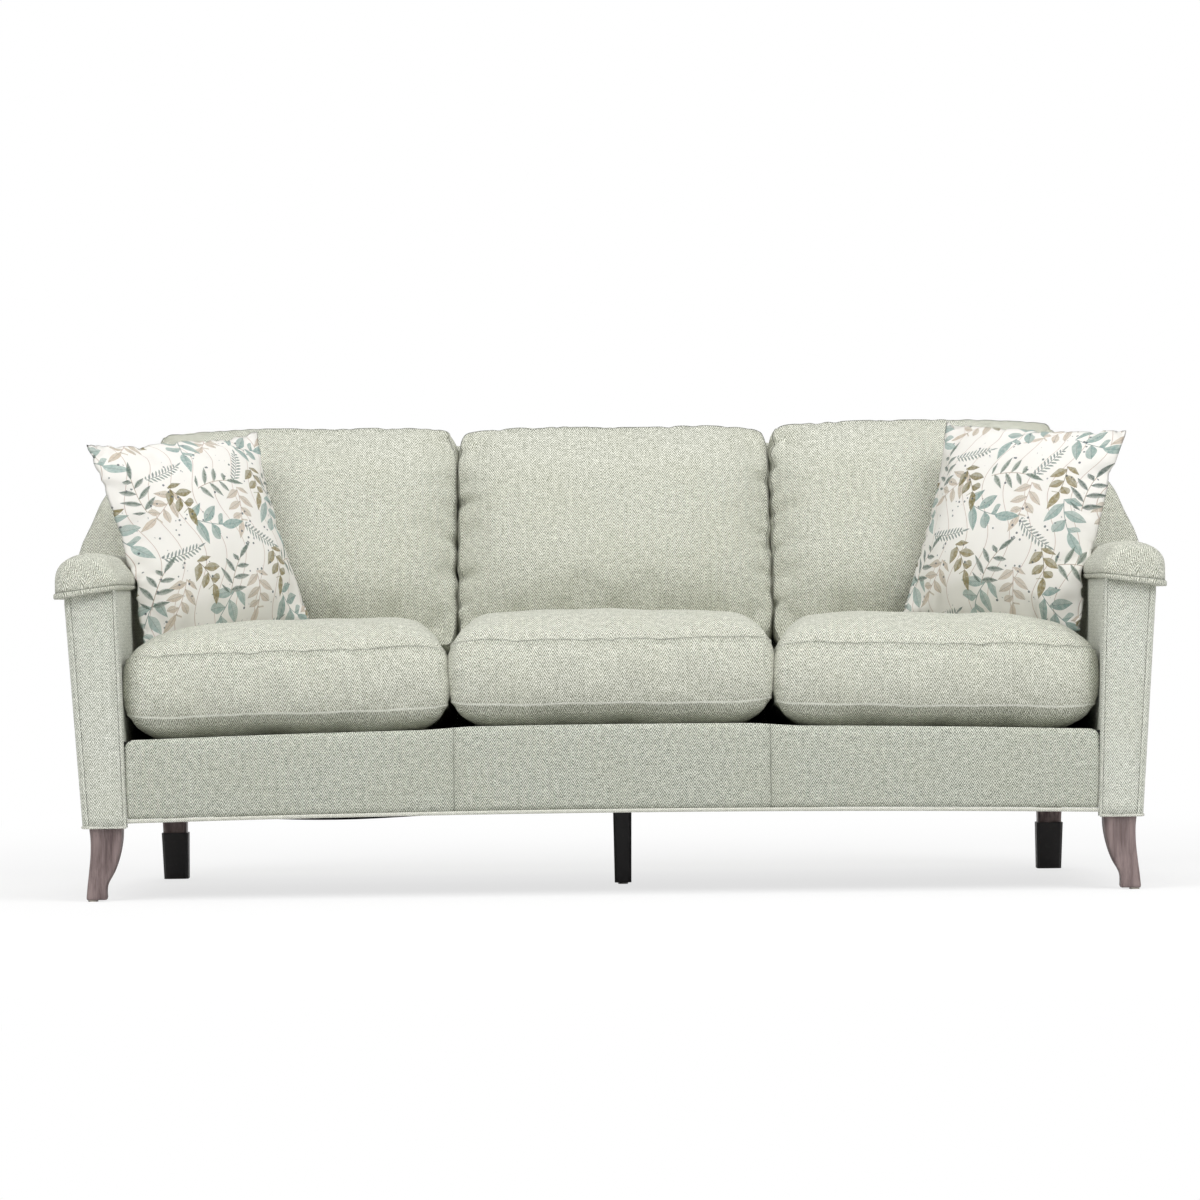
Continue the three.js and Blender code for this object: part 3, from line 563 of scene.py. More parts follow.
class Signal:
    """The output of a shader node. Each sum that is written with it becomes a math node."""

    def __init__(self, graph, socket):
        self.graph, self.socket = graph, socket

    def do(self, operation, other=0.0, **settings):
        return self.graph.node("Math", {0: self, 1: other}, operation=operation, **settings)[0]

    def __add__(self, other):
        return self.do("ADD", other)

    def __sub__(self, other):
        return self.do("SUBTRACT", other)

    def __rsub__(self, other):
        return self.graph.node("Math", {0: other, 1: self}, operation="SUBTRACT")[0]

    def __mul__(self, other):
        return self.do("MULTIPLY", other)

    def __truediv__(self, other):
        return self.do("DIVIDE", other)

    def __abs__(self):
        return self.do("ABSOLUTE")

    def step(self, low, high, start=0.0, end=1.0):
        """A smooth step between two values."""
        return self.graph.node("MapRange", {0: self, 1: low, 2: high, 3: start, 4: end},
                               interpolation_type="SMOOTHSTEP")[0]

    def fade(self, low, high):
        return self.step(low, high, 1.0, 0.0)


class Graph:
    """Writes the nodes of a material or of a group."""

    def __init__(self, tree):
        self.tree = tree

    def node(self, kind, inputs, **settings):
        """Adds a node and gives its outputs, by their number and by their name."""
        made = self.tree.nodes.new(f"ShaderNode{kind}")
        for label, value in settings.items():
            setattr(made, label, value)
        for label, value in inputs.items():
            self.feed(made.inputs[label], value)
        return {key: Signal(self, socket) for number, socket in enumerate(made.outputs)
                for key in (number, socket.name)}

    def feed(self, socket, value):
        if isinstance(value, Signal):
            self.tree.links.new(value.socket, socket)
        else:
            socket.default_value = value

    def mix(self, share, a, b):
        return self.node("Mix", {0: share, 6: a, 7: b}, data_type="RGBA")[2]

    def noise(self, vector, scale, detail=2.0, roughness=0.5):
        return self.node("TexNoise", {"Vector": vector, "Scale": scale, "Detail": detail,
                                      "Roughness": roughness})[0]

    def vector(self, operation, a, b):
        return self.node("VectorMath", {0: a, 1: b}, operation=operation)[0]

    def join(self, x, y, z=0.0):
        return self.node("CombineXYZ", {0: x, 1: y, 2: z})[0]

    def split(self, vector):
        parts = self.node("SeparateXYZ", {0: vector})
        return parts[0], parts[1], parts[2]

    def weave(self):
        return self.node("UVMap", {}, uv_map="weave")[0]

    def place(self):
        return self.node("TexCoord", {})["Object"]


KINDS = {"RGBA": "Color", "VECTOR": "Vector", "VALUE": "Float", tuple: "Vector", float: "Float"}


def make_group(name, inputs, write):
    """A shader group. inputs gives each input's kind or first value, and write makes the outputs."""
    tree = bpy.data.node_groups.new(name, "ShaderNodeTree")
    for label, value in inputs.items():
        kind = value if isinstance(value, str) else KINDS[type(value)]
        socket = tree.interface.new_socket(label, in_out="INPUT", socket_type=f"NodeSocket{kind}")
        if value != kind:
            socket.default_value = value
    graph = Graph(tree)
    given = tree.nodes.new("NodeGroupInput").outputs
    outputs = write(graph, *(Signal(graph, given[label]) for label in inputs))
    for label, signal in outputs.items():
        tree.interface.new_socket(label, in_out="OUTPUT",
                                  socket_type=f"NodeSocket{KINDS[signal.socket.type]}")
    result = tree.nodes.new("NodeGroupOutput").inputs
    for label, signal in outputs.items():
        graph.feed(result[label], signal)
    return tree


def colour(red, green, blue):
    """A colour written in the 0 to 255 of a screen, turned to light."""
    def light(value):
        value /= 255
        return value / 12.92 if value <= 0.04045 else ((value + 0.055) / 1.055) ** 2.4
    return (light(red), light(green), light(blue), 1.0)


def colours(*tones):
    return [colour(*tone) for tone in tones]


def write_herringbone(graph, cloth, column, pitch, pale, dark, speck):
    """Columns of twill that lean to one side and the other by turns."""
    u, v, _ = graph.split(cloth)
    drift = (graph.noise(cloth, 90, 1) - 0.5) * 0.0012
    across = (u + drift).do("PINGPONG", column)
    turn = (v + across * HERRINGBONE_LEAN + drift) / pitch
    twill = (turn * math.tau).do("SINE") * 0.45 + 0.5
    yarn = graph.noise(cloth, 480, 2, 0.6)
    slub = graph.noise(cloth, 95, 4, 0.65)
    mask = twill.do("ADD", (yarn - 0.5) * 1.8 + (slub - 0.5) * 0.9, use_clamp=True)
    tone = graph.mix(mask, dark, pale)
    tone = graph.mix(graph.noise(cloth, 420, 1).step(0.60, 0.72) * 0.55, tone, speck)
    ditch = across.do("MINIMUM", column - across).step(0.0, 0.0012)
    return {"Color": tone, "Height": (twill + yarn * 0.5) * ditch}


def write_seam_line_shade(graph, tone, height, width):
    """A sewn line: painted shade near the seam, darker in its ditch, and a pale edge beside it."""
    seam, edging = (graph.node("Attribute", {}, attribute_name=label)["Fac"]
                    for label in ("seam", "edging"))
    ditch = seam.fade(0.0, width) * edging.step(0.004, 0.008)
    # Painted shade: a faint darkening near every seam and a stronger one in its ditch; then the pale
    # edge
    for share, ink in ((seam.fade(0.0, 0.016) * 0.08, colour(96, 100, 84)),
                       (ditch * 0.24, colour(92, 98, 84)),
                       (edging.fade(0.0006, 0.0026) * 0.65, colour(236, 236, 226))):
        tone = graph.mix(share, tone, ink)
    return {"Color": tone, "Height": height - ditch * 3.0}


def write_sprig(graph, weave, cell, shift, turn, spread, length, spacing, leaf_length, leaf_width,
                lean, bend, notch):
    """One printed sprig in each cell of a grid: a bent stem with leaves by turns and one at its tip."""
    moved = graph.vector("ADD", weave, shift)
    x, y, _ = graph.split(graph.vector("DIVIDE", moved, graph.join(cell, cell, 1.0)))
    column, row = x.do("FLOOR"), y.do("FLOOR")
    chance = graph.node("TexWhiteNoise", {"Vector": graph.join(column, row, turn)},
                        noise_dimensions="3D")
    one, two, three = graph.split(chance["Color"])
    near_x = (x - column - 0.5 - (one - 0.5) * 0.14) * cell
    near_y = (y - row - 0.5 - (two - 0.5) * 0.14) * cell
    px, py, _ = graph.split(graph.node("VectorRotate", {
        "Vector": graph.join(near_x, near_y), "Angle": turn + (three - 0.5) * spread},
        rotation_type="Z_AXIS")[0])
    px = px + leaf_length * 0.45
    py = py + px * px * bend
    half, off = length * 0.5, abs(py)
    within = abs(px).do("LESS_THAN", half)
    place = (px + half) / spacing + py.do("SIGN") * 0.25
    ahead = (place - place.do("FLOOR")) * spacing
    cosine, sine = lean.do("COSINE"), lean.do("SINE")
    forth = ahead * cosine + off * sine
    aside = off * cosine - ahead * sine

    def leaf(forth, aside, long):
        share = forth / long
        lens = (share.do("MAXIMUM", 0.0).do("POWER", 0.85) * math.pi).do("SINE")
        wide = lens * leaf_width * (1.0 - (forth / 0.0022).do("FRACT") * notch)
        inside = share.do("GREATER_THAN", 0.0) * share.do("LESS_THAN", 1.0)
        body = (wide - abs(aside)).step(-0.0002, 0.0004) * inside
        return body, abs(aside).fade(0.0002, 0.0007) * body

    body, vein = leaf(forth, aside, leaf_length * (1.0 - abs(px / half).do("POWER", 2.0) * 0.45))
    body = body * within
    tip, tip_vein = leaf(px - (half - 0.002), py, leaf_length)
    slant = forth - abs(aside)
    return {"Leaf": body.do("MAXIMUM", tip), "Vein": (vein * within).do("MAXIMUM", tip_vein),
            "Rib": (slant * (math.tau / 0.0042)).do("SINE").step(0.3, 0.9) * body,
            "Stem": off.fade(0.0004, 0.0010) * within, "Tone": chance["Value"],
            "Half": aside.do("GREATER_THAN", 0.0)}


def write_wood_grain(graph, place, pale, dark, stretch, pores):
    """Long grain and fine pores that run up a leg or along a rail."""
    long = graph.vector("MULTIPLY", place, stretch)
    rings = graph.noise(long, 1.0, 4, 0.62)
    fine = graph.noise(graph.vector("MULTIPLY", long, (7, 7, 3)), 1.0, 3, 0.7)
    tone = graph.mix((rings + fine * 0.35).step(0.42, 0.86), dark, pale)
    pore = fine.step(0.58, 0.74) * pores
    return {"Color": graph.mix(pore * 0.5, tone, dark), "Height": rings - pore,
            "Roughness": pore * 0.3 + 0.42}


HERRINGBONE = make_group("herringbone", {
    "Weave": "Vector", "Column": HERRINGBONE_COLUMN, "Pitch": HERRINGBONE_PITCH,
    "Pale Yarn": "Color", "Dark Yarn": "Color", "Fleck": "Color"}, write_herringbone)
# Painted shade at the seams, their pale edge and the seams' bump
SEAM_LINE_SHADE = make_group("seam_line_shade", {"Color": "Color", "Height": 0.0, "Width": 0.0016},
                       write_seam_line_shade)
SPRIG = make_group("sprig", {
    "Weave": "Vector", "Cell": 0.12, "Shift": (0, 0, 0), "Turn": 0.0, "Spread": 1.2, "Length": 0.1,
    "Spacing": 0.016, "Leaf Length": 0.026, "Leaf Width": 0.005, "Lean": 1.0, "Bend": 2.0,
    "Notch": 0.0}, write_sprig)
WOOD_GRAIN = make_group("wood_grain", {
    "Place": "Vector", "Pale": "Color", "Dark": "Color", "Stretch": (60, 60, 4), "Pores": 0.5},
    write_wood_grain)


def new_material(name):
    material = bpy.data.materials.new(name)
    material.use_nodes = True
    return material, Graph(material.node_tree), material.node_tree.nodes["Principled BSDF"].inputs


def dress(graph, shader, height, distance, values, strength=1.0):
    """Feeds the shader's inputs and its bump."""
    lumps = graph.node("Bump", {"Height": height, "Distance": distance, "Strength": strength})
    for label, value in {**values, "Normal": lumps[0]}.items():
        graph.feed(shader[label], value)


def herringbone_cloth(name, pale, dark, speck):
    material, graph, shader = new_material(name)
    weave = graph.weave()
    woven = graph.node("Group", {"Weave": weave, "Pale Yarn": pale, "Dark Yarn": dark,
                                 "Fleck": speck}, node_tree=HERRINGBONE)
    slow = graph.noise(weave, 7, 3).step(0.35, 0.7, 0.0, 0.10)
    tone = graph.mix(slow, woven["Color"], colour(176, 176, 150))
    sewn = graph.node("Group", {"Color": tone, "Height": woven["Height"]}, node_tree=SEAM_LINE_SHADE)
    dress(graph, shader, sewn["Height"], 0.0007, {
        "Base Color": sewn["Color"], "Roughness": 0.92, "Specular IOR Level": 0.2,
        "Sheen Weight": 0.12, "Sheen Roughness": 0.5})
    return material


SPRIG_SHAPE = ("Turn", "Spread", "Length", "Spacing", "Leaf Length", "Leaf Width", "Lean", "Bend",
               "Notch")
SPRIGS = (
    # the sprig's shape, two inks for its leaves, and one for its stem
    ((1.9, 1.4, 0.072, 0.0250, 0.0420, 0.0078, 1.00, 2.4, 0.0),
     (206, 190, 168), (218, 204, 188), (196, 170, 156)),
    ((1.2, 2.0, 0.070, 0.0340, 0.0540, 0.0108, 0.98, -3.0, 0.0),
     (168, 190, 184), (140, 168, 162), (112, 134, 130)),
    ((-0.4, 2.2, 0.084, 0.0085, 0.0175, 0.0022, 0.95, -2.4, 0.0),
     (122, 140, 136), (150, 162, 156), (140, 150, 144)),
    ((-1.0, 1.8, 0.078, 0.0250, 0.0420, 0.0066, 1.05, 3.2, 0.45),
     (88, 108, 100), (112, 130, 116), (176, 156, 136)),
    ((0.4, 2.4, 0.060, 0.0260, 0.0400, 0.0088, 0.95, 4.2, 0.0),
     (132, 120, 70), (158, 144, 100), (136, 118, 90)),
)


def printed_cloth(name):
    """A pale plain weave printed with sprigs in several colours and berries between them."""
    material, graph, shader = new_material(name)
    weave = graph.weave()
    u, v, _ = graph.split(weave)
    tone = graph.mix(graph.noise(weave, 9, 2), *colours((254, 252, 246), (249, 246, 240)))
    swing = (v * (math.tau / 0.23)).do("SINE") * 0.020
    vine = abs((u + swing).do("PINGPONG", 0.050) - 0.025).fade(0.0003, 0.0009)
    tone = graph.mix(vine * 0.75, tone, colour(186, 158, 142))
    wash = graph.noise(weave, 160, 2).step(0.35, 0.65, 0.0, 0.22)
    for place, (shape, *inks) in enumerate(SPRIGS):
        shift = (PRINT_CELL * (0.4 * place + 0.21), PRINT_CELL * (0.2 * place + 0.37), 0)
        sprig = graph.node("Group", {"Weave": weave, "Cell": PRINT_CELL, "Shift": shift,
                                     **dict(zip(SPRIG_SHAPE, shape))}, node_tree=SPRIG)
        *leaf_inks, stem_ink = colours(*inks)
        tone = graph.mix(sprig["Stem"] * 0.85, tone, stem_ink)
        ink = graph.mix(wash, graph.mix(sprig["Tone"], *leaf_inks), tone)
        ink = graph.mix(sprig["Half"] * 0.22, ink, colour(240, 240, 232))
        tone = graph.mix(sprig["Leaf"] * 0.96, tone, ink)
        tone = graph.mix(sprig["Rib"] * 0.22, tone, colour(96, 104, 92))
        tone = graph.mix(sprig["Vein"] * 0.45, tone, colour(92, 96, 84))
    dots = graph.node("TexVoronoi", {"Vector": weave, "Scale": 92.0, "Randomness": 0.8})["Distance"]
    berry = dots.fade(0.20, 0.27) * graph.noise(weave, 24, 1).step(0.54, 0.58)
    tone = graph.mix(berry * 0.85, tone, colour(78, 88, 96))
    warp, weft = ((line * (math.tau / THREAD)).do("SINE") for line in (u, v))
    sewn = graph.node("Group", {"Color": tone, "Height": warp * weft, "Width": 0.0012},
                      node_tree=SEAM_LINE_SHADE)
    dress(graph, shader, sewn["Height"], 0.00025, {
        "Base Color": sewn["Color"], "Roughness": 0.88, "Specular IOR Level": 0.22,
        "Sheen Weight": 0.08})
    return material


def plain_cloth(name, pale, dark, grain):
    """A plain or felted cloth, for what hides under the cushions."""
    material, graph, shader = new_material(name)
    place = graph.place()
    fibre = graph.noise(place, grain, 4, 0.7)
    tone = graph.mix(fibre.step(0.3, 0.7), dark, pale)
    tone = graph.mix(graph.noise(place, 6, 2) * 0.25, tone, dark)
    dress(graph, shader, fibre, 0.0006, {"Base Color": tone, "Roughness": 0.95,
                                         "Specular IOR Level": 0.15})
    return material


def grained_wood(name, pale, dark, stretch, pores):
    material, graph, shader = new_material(name)
    grain = graph.node("Group", {"Place": graph.place(), "Pale": pale, "Dark": dark,
                                 "Stretch": stretch, "Pores": pores}, node_tree=WOOD_GRAIN)
    dress(graph, shader, grain["Height"], 0.0005, {
        "Base Color": grain["Color"], "Roughness": grain["Roughness"],
        "Specular IOR Level": 0.35}, 0.6)
    return material


def moulded(name, base, scuff, roughness, metallic=0.0):
    """Steel wire, moulded sleeves and glides: one colour with fine scuffs."""
    material, graph, shader = new_material(name)
    rub = graph.noise(graph.place(), 120, 4, 0.65)
    dress(graph, shader, rub, 0.0002, {
        "Base Color": graph.mix(rub.step(0.45, 0.8), base, scuff),
        "Roughness": rub.step(0.3, 0.8, roughness, roughness + 0.2), "Metallic": metallic}, 0.5)
    return material


SAGE = herringbone_cloth("sage_weave", *colours((246, 246, 234), (118, 122, 104), (96, 106, 104)))
# Painted light: a paler, cooler copy of the sage cloth for the arms, which stand brighter lit than the
# seat
SAGE_LIT = herringbone_cloth("sage_arm_weave",
                             *colours((250, 251, 241), (131, 136, 121), (108, 117, 114)))
# Painted shade: a darker copy of the sage cloth for the border and the deck's front lip, low under the
# seat cushions
SAGE_SHADED = herringbone_cloth("sage_shaded_weave",
                             *colours((234, 236, 223), (92, 99, 85), (86, 98, 96)))
WELT = herringbone_cloth("sage_welt_weave",
                         *colours((238, 237, 228), (176, 178, 164), (160, 164, 152)))
PRINT = printed_cloth("botanical_print")
DECK_CLOTH = plain_cloth("deck_platform_cloth", *colours((196, 198, 182), (168, 170, 152)), 900)
# Black cloth: the dust cover under the seat, and the black sheet behind the border that is painted shade
BLACK_DUST_AND_SHADE_CLOTH = plain_cloth("black_dust_and_shade_cloth", *colours((44, 43, 44), (22, 22, 23)), 700)
LEG_WOOD = grained_wood("leg_finish", *colours((138, 122, 120), (84, 70, 69)), (70, 70, 5), 0.9)
FRAME_WOOD = grained_wood("frame_timber", *colours((206, 178, 138), (164, 130, 92)),
                          (5, 60, 60), 0.4)
POST_WOOD = grained_wood("post_timber", *colours((204, 176, 136), (160, 126, 90)), (60, 60, 5), 0.4)
SPRING_STEEL = moulded("spring_wire", *colours((120, 122, 126), (88, 86, 84)), 0.32, 0.9)
BLACK_LEG = moulded("black_sleeve", *colours((34, 32, 33), (52, 50, 50)), 0.5)
GLIDE = moulded("glide_plastic", *colours((186, 180, 168), (150, 146, 136)), 0.45)
FINISHES = {"frame_wood": FRAME_WOOD, "spring_steel": SPRING_STEEL, "leg_wood": LEG_WOOD,
            "black_leg": BLACK_LEG, "glide": GLIDE, "black_cloth": BLACK_DUST_AND_SHADE_CLOTH,
            "deck_cloth": DECK_CLOTH, "sage_herringbone": SAGE, "sage_welt": WELT,
            "print_cloth": PRINT}


def fit(piece, node=None, body="sofa"):
    """Hides the node a piece stands in for and sets what the piece rides on."""
    if node is not None:
        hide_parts(node)
    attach(piece, body)


# Cushions and pillows


def make_seat_cushion(side, place):
    node = f"seat_cushion_{side}"
    rng = np.random.default_rng(SEED + place)
    space = DECK_SPACE @ Matrix.Rotation(place * SEAT_TILT, 4, "Y")
    low, high = reach_of(node, space)
    half, tall = (high - low)[:2] / 2, high[2] - low[2]
    settle = SIDE_SETTLE * abs(place)
    under, boxing_top = SEAT_FOOT_SEAM * tall, SEAT_TOP_SEAM * tall - settle
    waver = rng.uniform(0, math.tau, 4)

    def seam_sway(x, y):
        return 0.0009 * (np.sin(x * 21 + waver[0]) + np.sin(x * 47 + y * 9 + waver[1]))

    def low_seam(x, y):
        return under + 0.8 * seam_sway(x, y) + SEAT_SEAM_LIFT * np.abs(x / half[0]) ** 14

    def high_seam(x, y):
        return boxing_top + seam_sway(x, y) - SEAT_SEAM_DIP * np.abs(x / half[0]) ** 12

    def top(u, v):
        lean = 1 - 0.08 * smooth_step((v + 0.2) / 1.2)
        shoulder = 1 - 0.20 * smooth_step((u * place - 0.35) / 0.65)
        return ((tall - boxing_top - 0.004) * (1 - np.abs(u) ** 6) ** 0.5
                * (1 - np.abs(v) ** 3.6) ** 0.6 * lean * shoulder)

    def foot(u, v):
        return under * (1 - np.abs(u) ** 9) ** 0.6 * (1 - np.abs(v) ** 10) ** 0.5

    def bulge(x, y):
        return 0.0008 + SEAT_FRONT_BULGE * smooth_step((-y / half[1] - 0.80) / 0.2)

    cloth = boxed_cushion(half, SEAT_CORNER, (SEAT_DRAW, SEAT_DRAW, SEAT_DRAW),
                          low_seam, high_seam, foot, top, bulge)
    piece = cloth.build(f"seat_cover_{side}", SAGE)
    swell(piece, pressure=1.2, slack=0.012, most=0.007)
    subdivide(piece)
    points, seam = points_of(piece), distance_from(piece, "seam")
    x, y, z = points.T
    around = np.where(np.abs(y / half[1]) > np.abs(x / half[0]), x, y + 3)
    amount = seam_relief(seam)
    amount += gathers(around, seam, rng, pitch=0.034, depth=0.0014, reach=0.020)
    amount += soft_waves(points, rng, size=0.30, height=0.0013)
    front = smooth_step((-y - 0.8 * half[1]) / (0.1 * half[1]))
    for _ in range(SEAT_WRINKLES):
        at = rng.uniform(-0.85, 0.85) * half[0]
        width = rng.uniform(0.008, 0.015)
        slant = rng.uniform(-0.25, 0.25)
        fade = bell((boxing_top - z) / rng.uniform(0.06, 0.13))
        depth = SEAT_WRINKLE_DEPTH * rng.uniform(0.35, 1)
        amount -= depth * bell((x - at - slant * (z - under)) / width) * front * fade
    displace(piece, amount)
    points = points_of(piece)
    points[:, 2] = np.maximum(points[:, 2], 0)
    set_points(piece, points)
    middle = (low + high) / 2
    piece.data.transform(space @ Matrix.Translation((middle[0], middle[1], low[2] - settle)))
    fit(piece, node, f"{node}_body")


def make_back_cushion(side, place):
    node = f"back_cushion_{side}"
    rng = np.random.default_rng(SEED + 10 + place)
    low, high = reach_of(node, BACK_SPACE)
    low[0] += BACK_CROWD[side][0]
    high += (BACK_CROWD[side][1], 0, BACK_RISE[side])
    half = (high - low)[[0, 2]] / 2
    boxing_middle = 0.5 * (BACK_BOXING_FOOT + BACK_BOXING_TOP)
    front_swell = high[1] - low[1] - BACK_REAR_SWELL - boxing_middle - 0.008
    phases = rng.uniform(0, math.tau, 6)

    def high_seam(x, y):
        share = y / (2 * half[1]) + 0.5
        return BACK_REAR_SWELL + BACK_BOXING_FOOT + (BACK_BOXING_TOP - BACK_BOXING_FOOT) * share

    def front(u, v):
        low_belly = 0.17 * bell((v + 0.42) / 0.42) * (1 - u**2)
        return front_swell * (dome(u, v, 3.0, 2.5, 0.66) + low_belly) / 1.10

    cloth = boxed_cushion(
        half, BACK_CORNER, (BACK_DRAW, 0.0, BACK_DRAW * 0.5), lambda x, y: BACK_REAR_SWELL + 0 * x,
        high_seam, lambda u, v: BACK_REAR_SWELL * dome(u, v, 4.0, 4.0, 0.8), front,
        lambda x, y: 0.0015 + 0 * x)
    piece = cloth.build(f"back_cover_{side}", SAGE)
    swell(piece, pressure=1.6, slack=0.02, most=0.012)
    subdivide(piece)
    points, seam = points_of(piece), distance_from(piece, "seam")
    x, y, z = points.T
    upright = np.abs(x / half[0]) > np.abs(y / half[1])
    around = np.where(upright, y, x + 3) + np.where(x > 0, 0, 7)
    amount = seam_relief(seam)
    amount += (gathers(around, seam, rng, pitch=0.030, depth=0.0075, reach=0.024)
               * np.where(upright, 1, 0.3))
    amount += soft_waves(points, rng, size=0.24, height=0.0020)
    for _ in range(BACK_FOLDS):
        line = x - rng.uniform(-0.85, 0.85) * half[0]
        line -= rng.uniform(-0.3, 0.3) * (y + half[1])
        rise = rng.uniform(0.04, 0.12)
        amount -= (BACK_FOLD_DEPTH * rng.uniform(0.4, 1) * bell(line / rng.uniform(0.006, 0.014))
                   * bell((y + half[1]) / rise) * (z > BACK_BOXING_FOOT))
    displace(piece, amount)
    x, y, z = points_of(piece).T
    edge = smooth_step((np.abs(x) / half[0] - 0.86) / 0.14)
    ripple = np.sin(y * 62 + phases[0]) + 0.7 * np.sin(y * 101 + phases[1])
    x = x - np.sign(x) * edge * 0.0007 * (ripple + 1.7)
    y = y + BACK_ARCH * (0.65 - (x / half[0]) ** 2) * smooth_step(y / half[1] / 2 + 0.5)
    for corner in (-1, 1):
        for rise, drop, reach in (BACK_FOOT_EAR, BACK_TOP_EAR):
            gap = np.hypot(x - corner * (half[0] - BACK_EAR_INSET),
                           y - rise * (half[1] - BACK_EAR_INSET))
            y = y - drop * bell(gap / reach)
    set_points(piece, grid_of(x, y, z))
    stand = Matrix.Translation(((low[0] + high[0]) / 2, high[1], (low[2] + high[2]) / 2))
    piece.data.transform(BACK_SPACE @ stand @ UPRIGHT)
    fit(piece, node, f"{node}_body")


def make_pillow(side, outward):
    node = f"throw_pillow_{side}"
    rng = np.random.default_rng(SEED + 30 + outward)
    yaw, lean, roll = (math.radians(angle) for angle in PILLOW_TURNS[side])
    turn = (Matrix.Rotation(yaw, 4, "Z") @ Matrix.Rotation(-lean, 4, "X")
            @ Matrix.Rotation(roll, 4, "Y"))
    low, high = reach_of(node, turn)
    half = (high[0] - low[0]) / 2 * PILLOW_FULLER
    cloth = knife_edged_pillow(half, 0.93 * (high[1] - low[1]) / 2, -outward * PILLOW_DROOP)
    piece = cloth.build(f"pillow_cover_{side}", PRINT)
    swell(piece, pressure=1.2, slack=0.02, most=0.008)
    subdivide(piece)
    points, seam = points_of(piece), distance_from(piece, "seam")
    x, y, _ = points.T
    around = np.where(np.abs(x) > np.abs(y), y, x + 3) + np.where(x + y > 0, 0, 7)
    amount = 0.5 * seam_relief(seam)
    amount += gathers(around, seam, rng, pitch=0.026, depth=0.0045, reach=0.028)
    amount += soft_waves(points, rng, size=0.16, height=0.0018)
    displace(piece, amount)
    aside = Matrix.Translation((outward * PILLOW_ASIDE[side], 0, 0))
    piece.data.transform(aside @ turn @ Matrix.Translation((low + high) / 2) @ UPRIGHT)
    press_on_arm(piece, side, outward)
    fit(piece, node, f"{node}_body")


def press_on_arm(piece, side, outward):
    """Presses the edge of a pillow flat where it leans on the arm and on its cap."""
    edges, _, top, _ = arm_edges(side)
    (share, inner_x), _, low, high, tall = cap_branches(side)
    x, y, z = points_of(piece).T
    cap = np.interp((z - low[2]) / tall, share, inner_x)
    limit = np.where(z < top, np.minimum(edges(z)[0], cap), cap) - PILLOW_GAP
    limit = np.where(z < high[2] - 0.001, limit, 2.0)
    limit = np.where((z > low[2] - 0.02) & (z <= low[2]), inner_x.min() - PILLOW_GAP, limit)
    set_points(piece, grid_of(outward * np.minimum(x * outward, limit), y, z))


# Arms


def arm_edges(side="right"):
    """The arm's inner and outer edge at a height, and its foot, its top and its front."""
    node = f"arm_front_panel_{side}"
    x, _, z = np.abs(node_points(node)).T
    foot, top = z.min(), z.max()
    at_foot, at_top = x[z < foot + SAME_LEVEL], x[z > top - SAME_LEVEL]
    ends = (at_foot.min(), at_top.min()), (at_foot.max(), at_top.max())

    def edges(height):
        share = (height - foot) / (top - foot)
        return [start + (end - start) * share for start, end in ends]

    return edges, foot, top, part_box(node)[0][1]


def plane_y(node):
    """Where the front of a leaning back panel stands at a height."""
    low, _ = reach_of(node, BACK_SPACE)
    sine, cosine = BACK_SPACE[2][1], BACK_SPACE[1][1]
    return lambda z: (low[1] - z * sine) / cosine


def make_arm_cover(side, outward, kind):
    """A side of the arm: its cloth turns the front corner and ends in a seam on the arm's front."""
    edges, foot, top, front = arm_edges(side)
    node, outer = f"arm_{kind}_panel_{side}", kind == "outer"
    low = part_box(node)[0][2]
    corner, inset, inward = ARM_ROUND[kind], ARM_SEAM_INSET[kind], -1 if outer else 1
    tall = top + ARM_COVER_RISE[kind] - foot
    levels = foot + tall * spaced(tall, PANEL_CELL)
    if not outer:
        levels = np.concatenate([levels[levels < low - 0.004], [low - 0.001, low + 0.001],
                                 levels[levels > low + 0.004]])
    z = levels[:, None]
    edge, rear = edges(z)[outer], plane_y("outside_back" if outer else "inside_back")(z) - 0.001
    if outer:
        edge = edge - ARM_UNDER_CAP * smooth_step((z - top) / 0.002)
    else:
        rear = np.where(z < low, front + ARM_STUB, rear)
    across, back = (corner * share[1:] for share in quarter_round(6))
    flank = rear + (front + corner - rear) * np.linspace(0, 1, ARM_FLANK_POINTS)
    seam = inset - np.array([0.0015, 0.0004, 0])
    turned = front + np.concatenate([back, ARM_TUCK * np.array([0, 0.4, 1])]) + 0 * z
    x = edge + inward * np.concatenate([np.zeros(flank.shape[1]), across, seam])
    face = grid_of(outward * x, np.hstack([flank, turned]), z)
    along = length_along(face)
    along -= along[:, -1:]
    away = np.cross(np.gradient(face, axis=1), [0, 0, 1.0]) * (-inward * outward)
    away /= np.maximum(np.linalg.norm(away, axis=-1, keepdims=True), 1e-9)
    cloth = two_sided(face, face + away * SKIN, grid_of(along, z), ARM_SEAM_FAINT - along)
    fit(cloth.build(f"arm_{kind}_cover_{side}", SAGE_LIT), node)


def make_arm_tuck(side, outward):
    """The foot of the arm's inner cloth, which goes down between the arm and the deck."""
    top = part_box(f"arm_inner_panel_{side}")[0][2]
    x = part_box("deck_pad")[1][0] + MEET_GAP
    front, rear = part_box("front_rail")[1][1] + TUCK, plane_y("inside_back")(top) - MEET_GAP
    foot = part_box(f"side_rail_{side}")[1][2] + TUCK
    y, z = np.meshgrid(np.linspace(front, rear, 40), np.linspace(foot, top + 0.0005, 5))
    face = grid_of(outward * x, y, z)
    cloth = two_sided(face, face + (outward * TUCK, 0, 0), grid_of(y, z))
    fit(cloth.build(f"arm_tuck_{side}", SAGE_LIT))


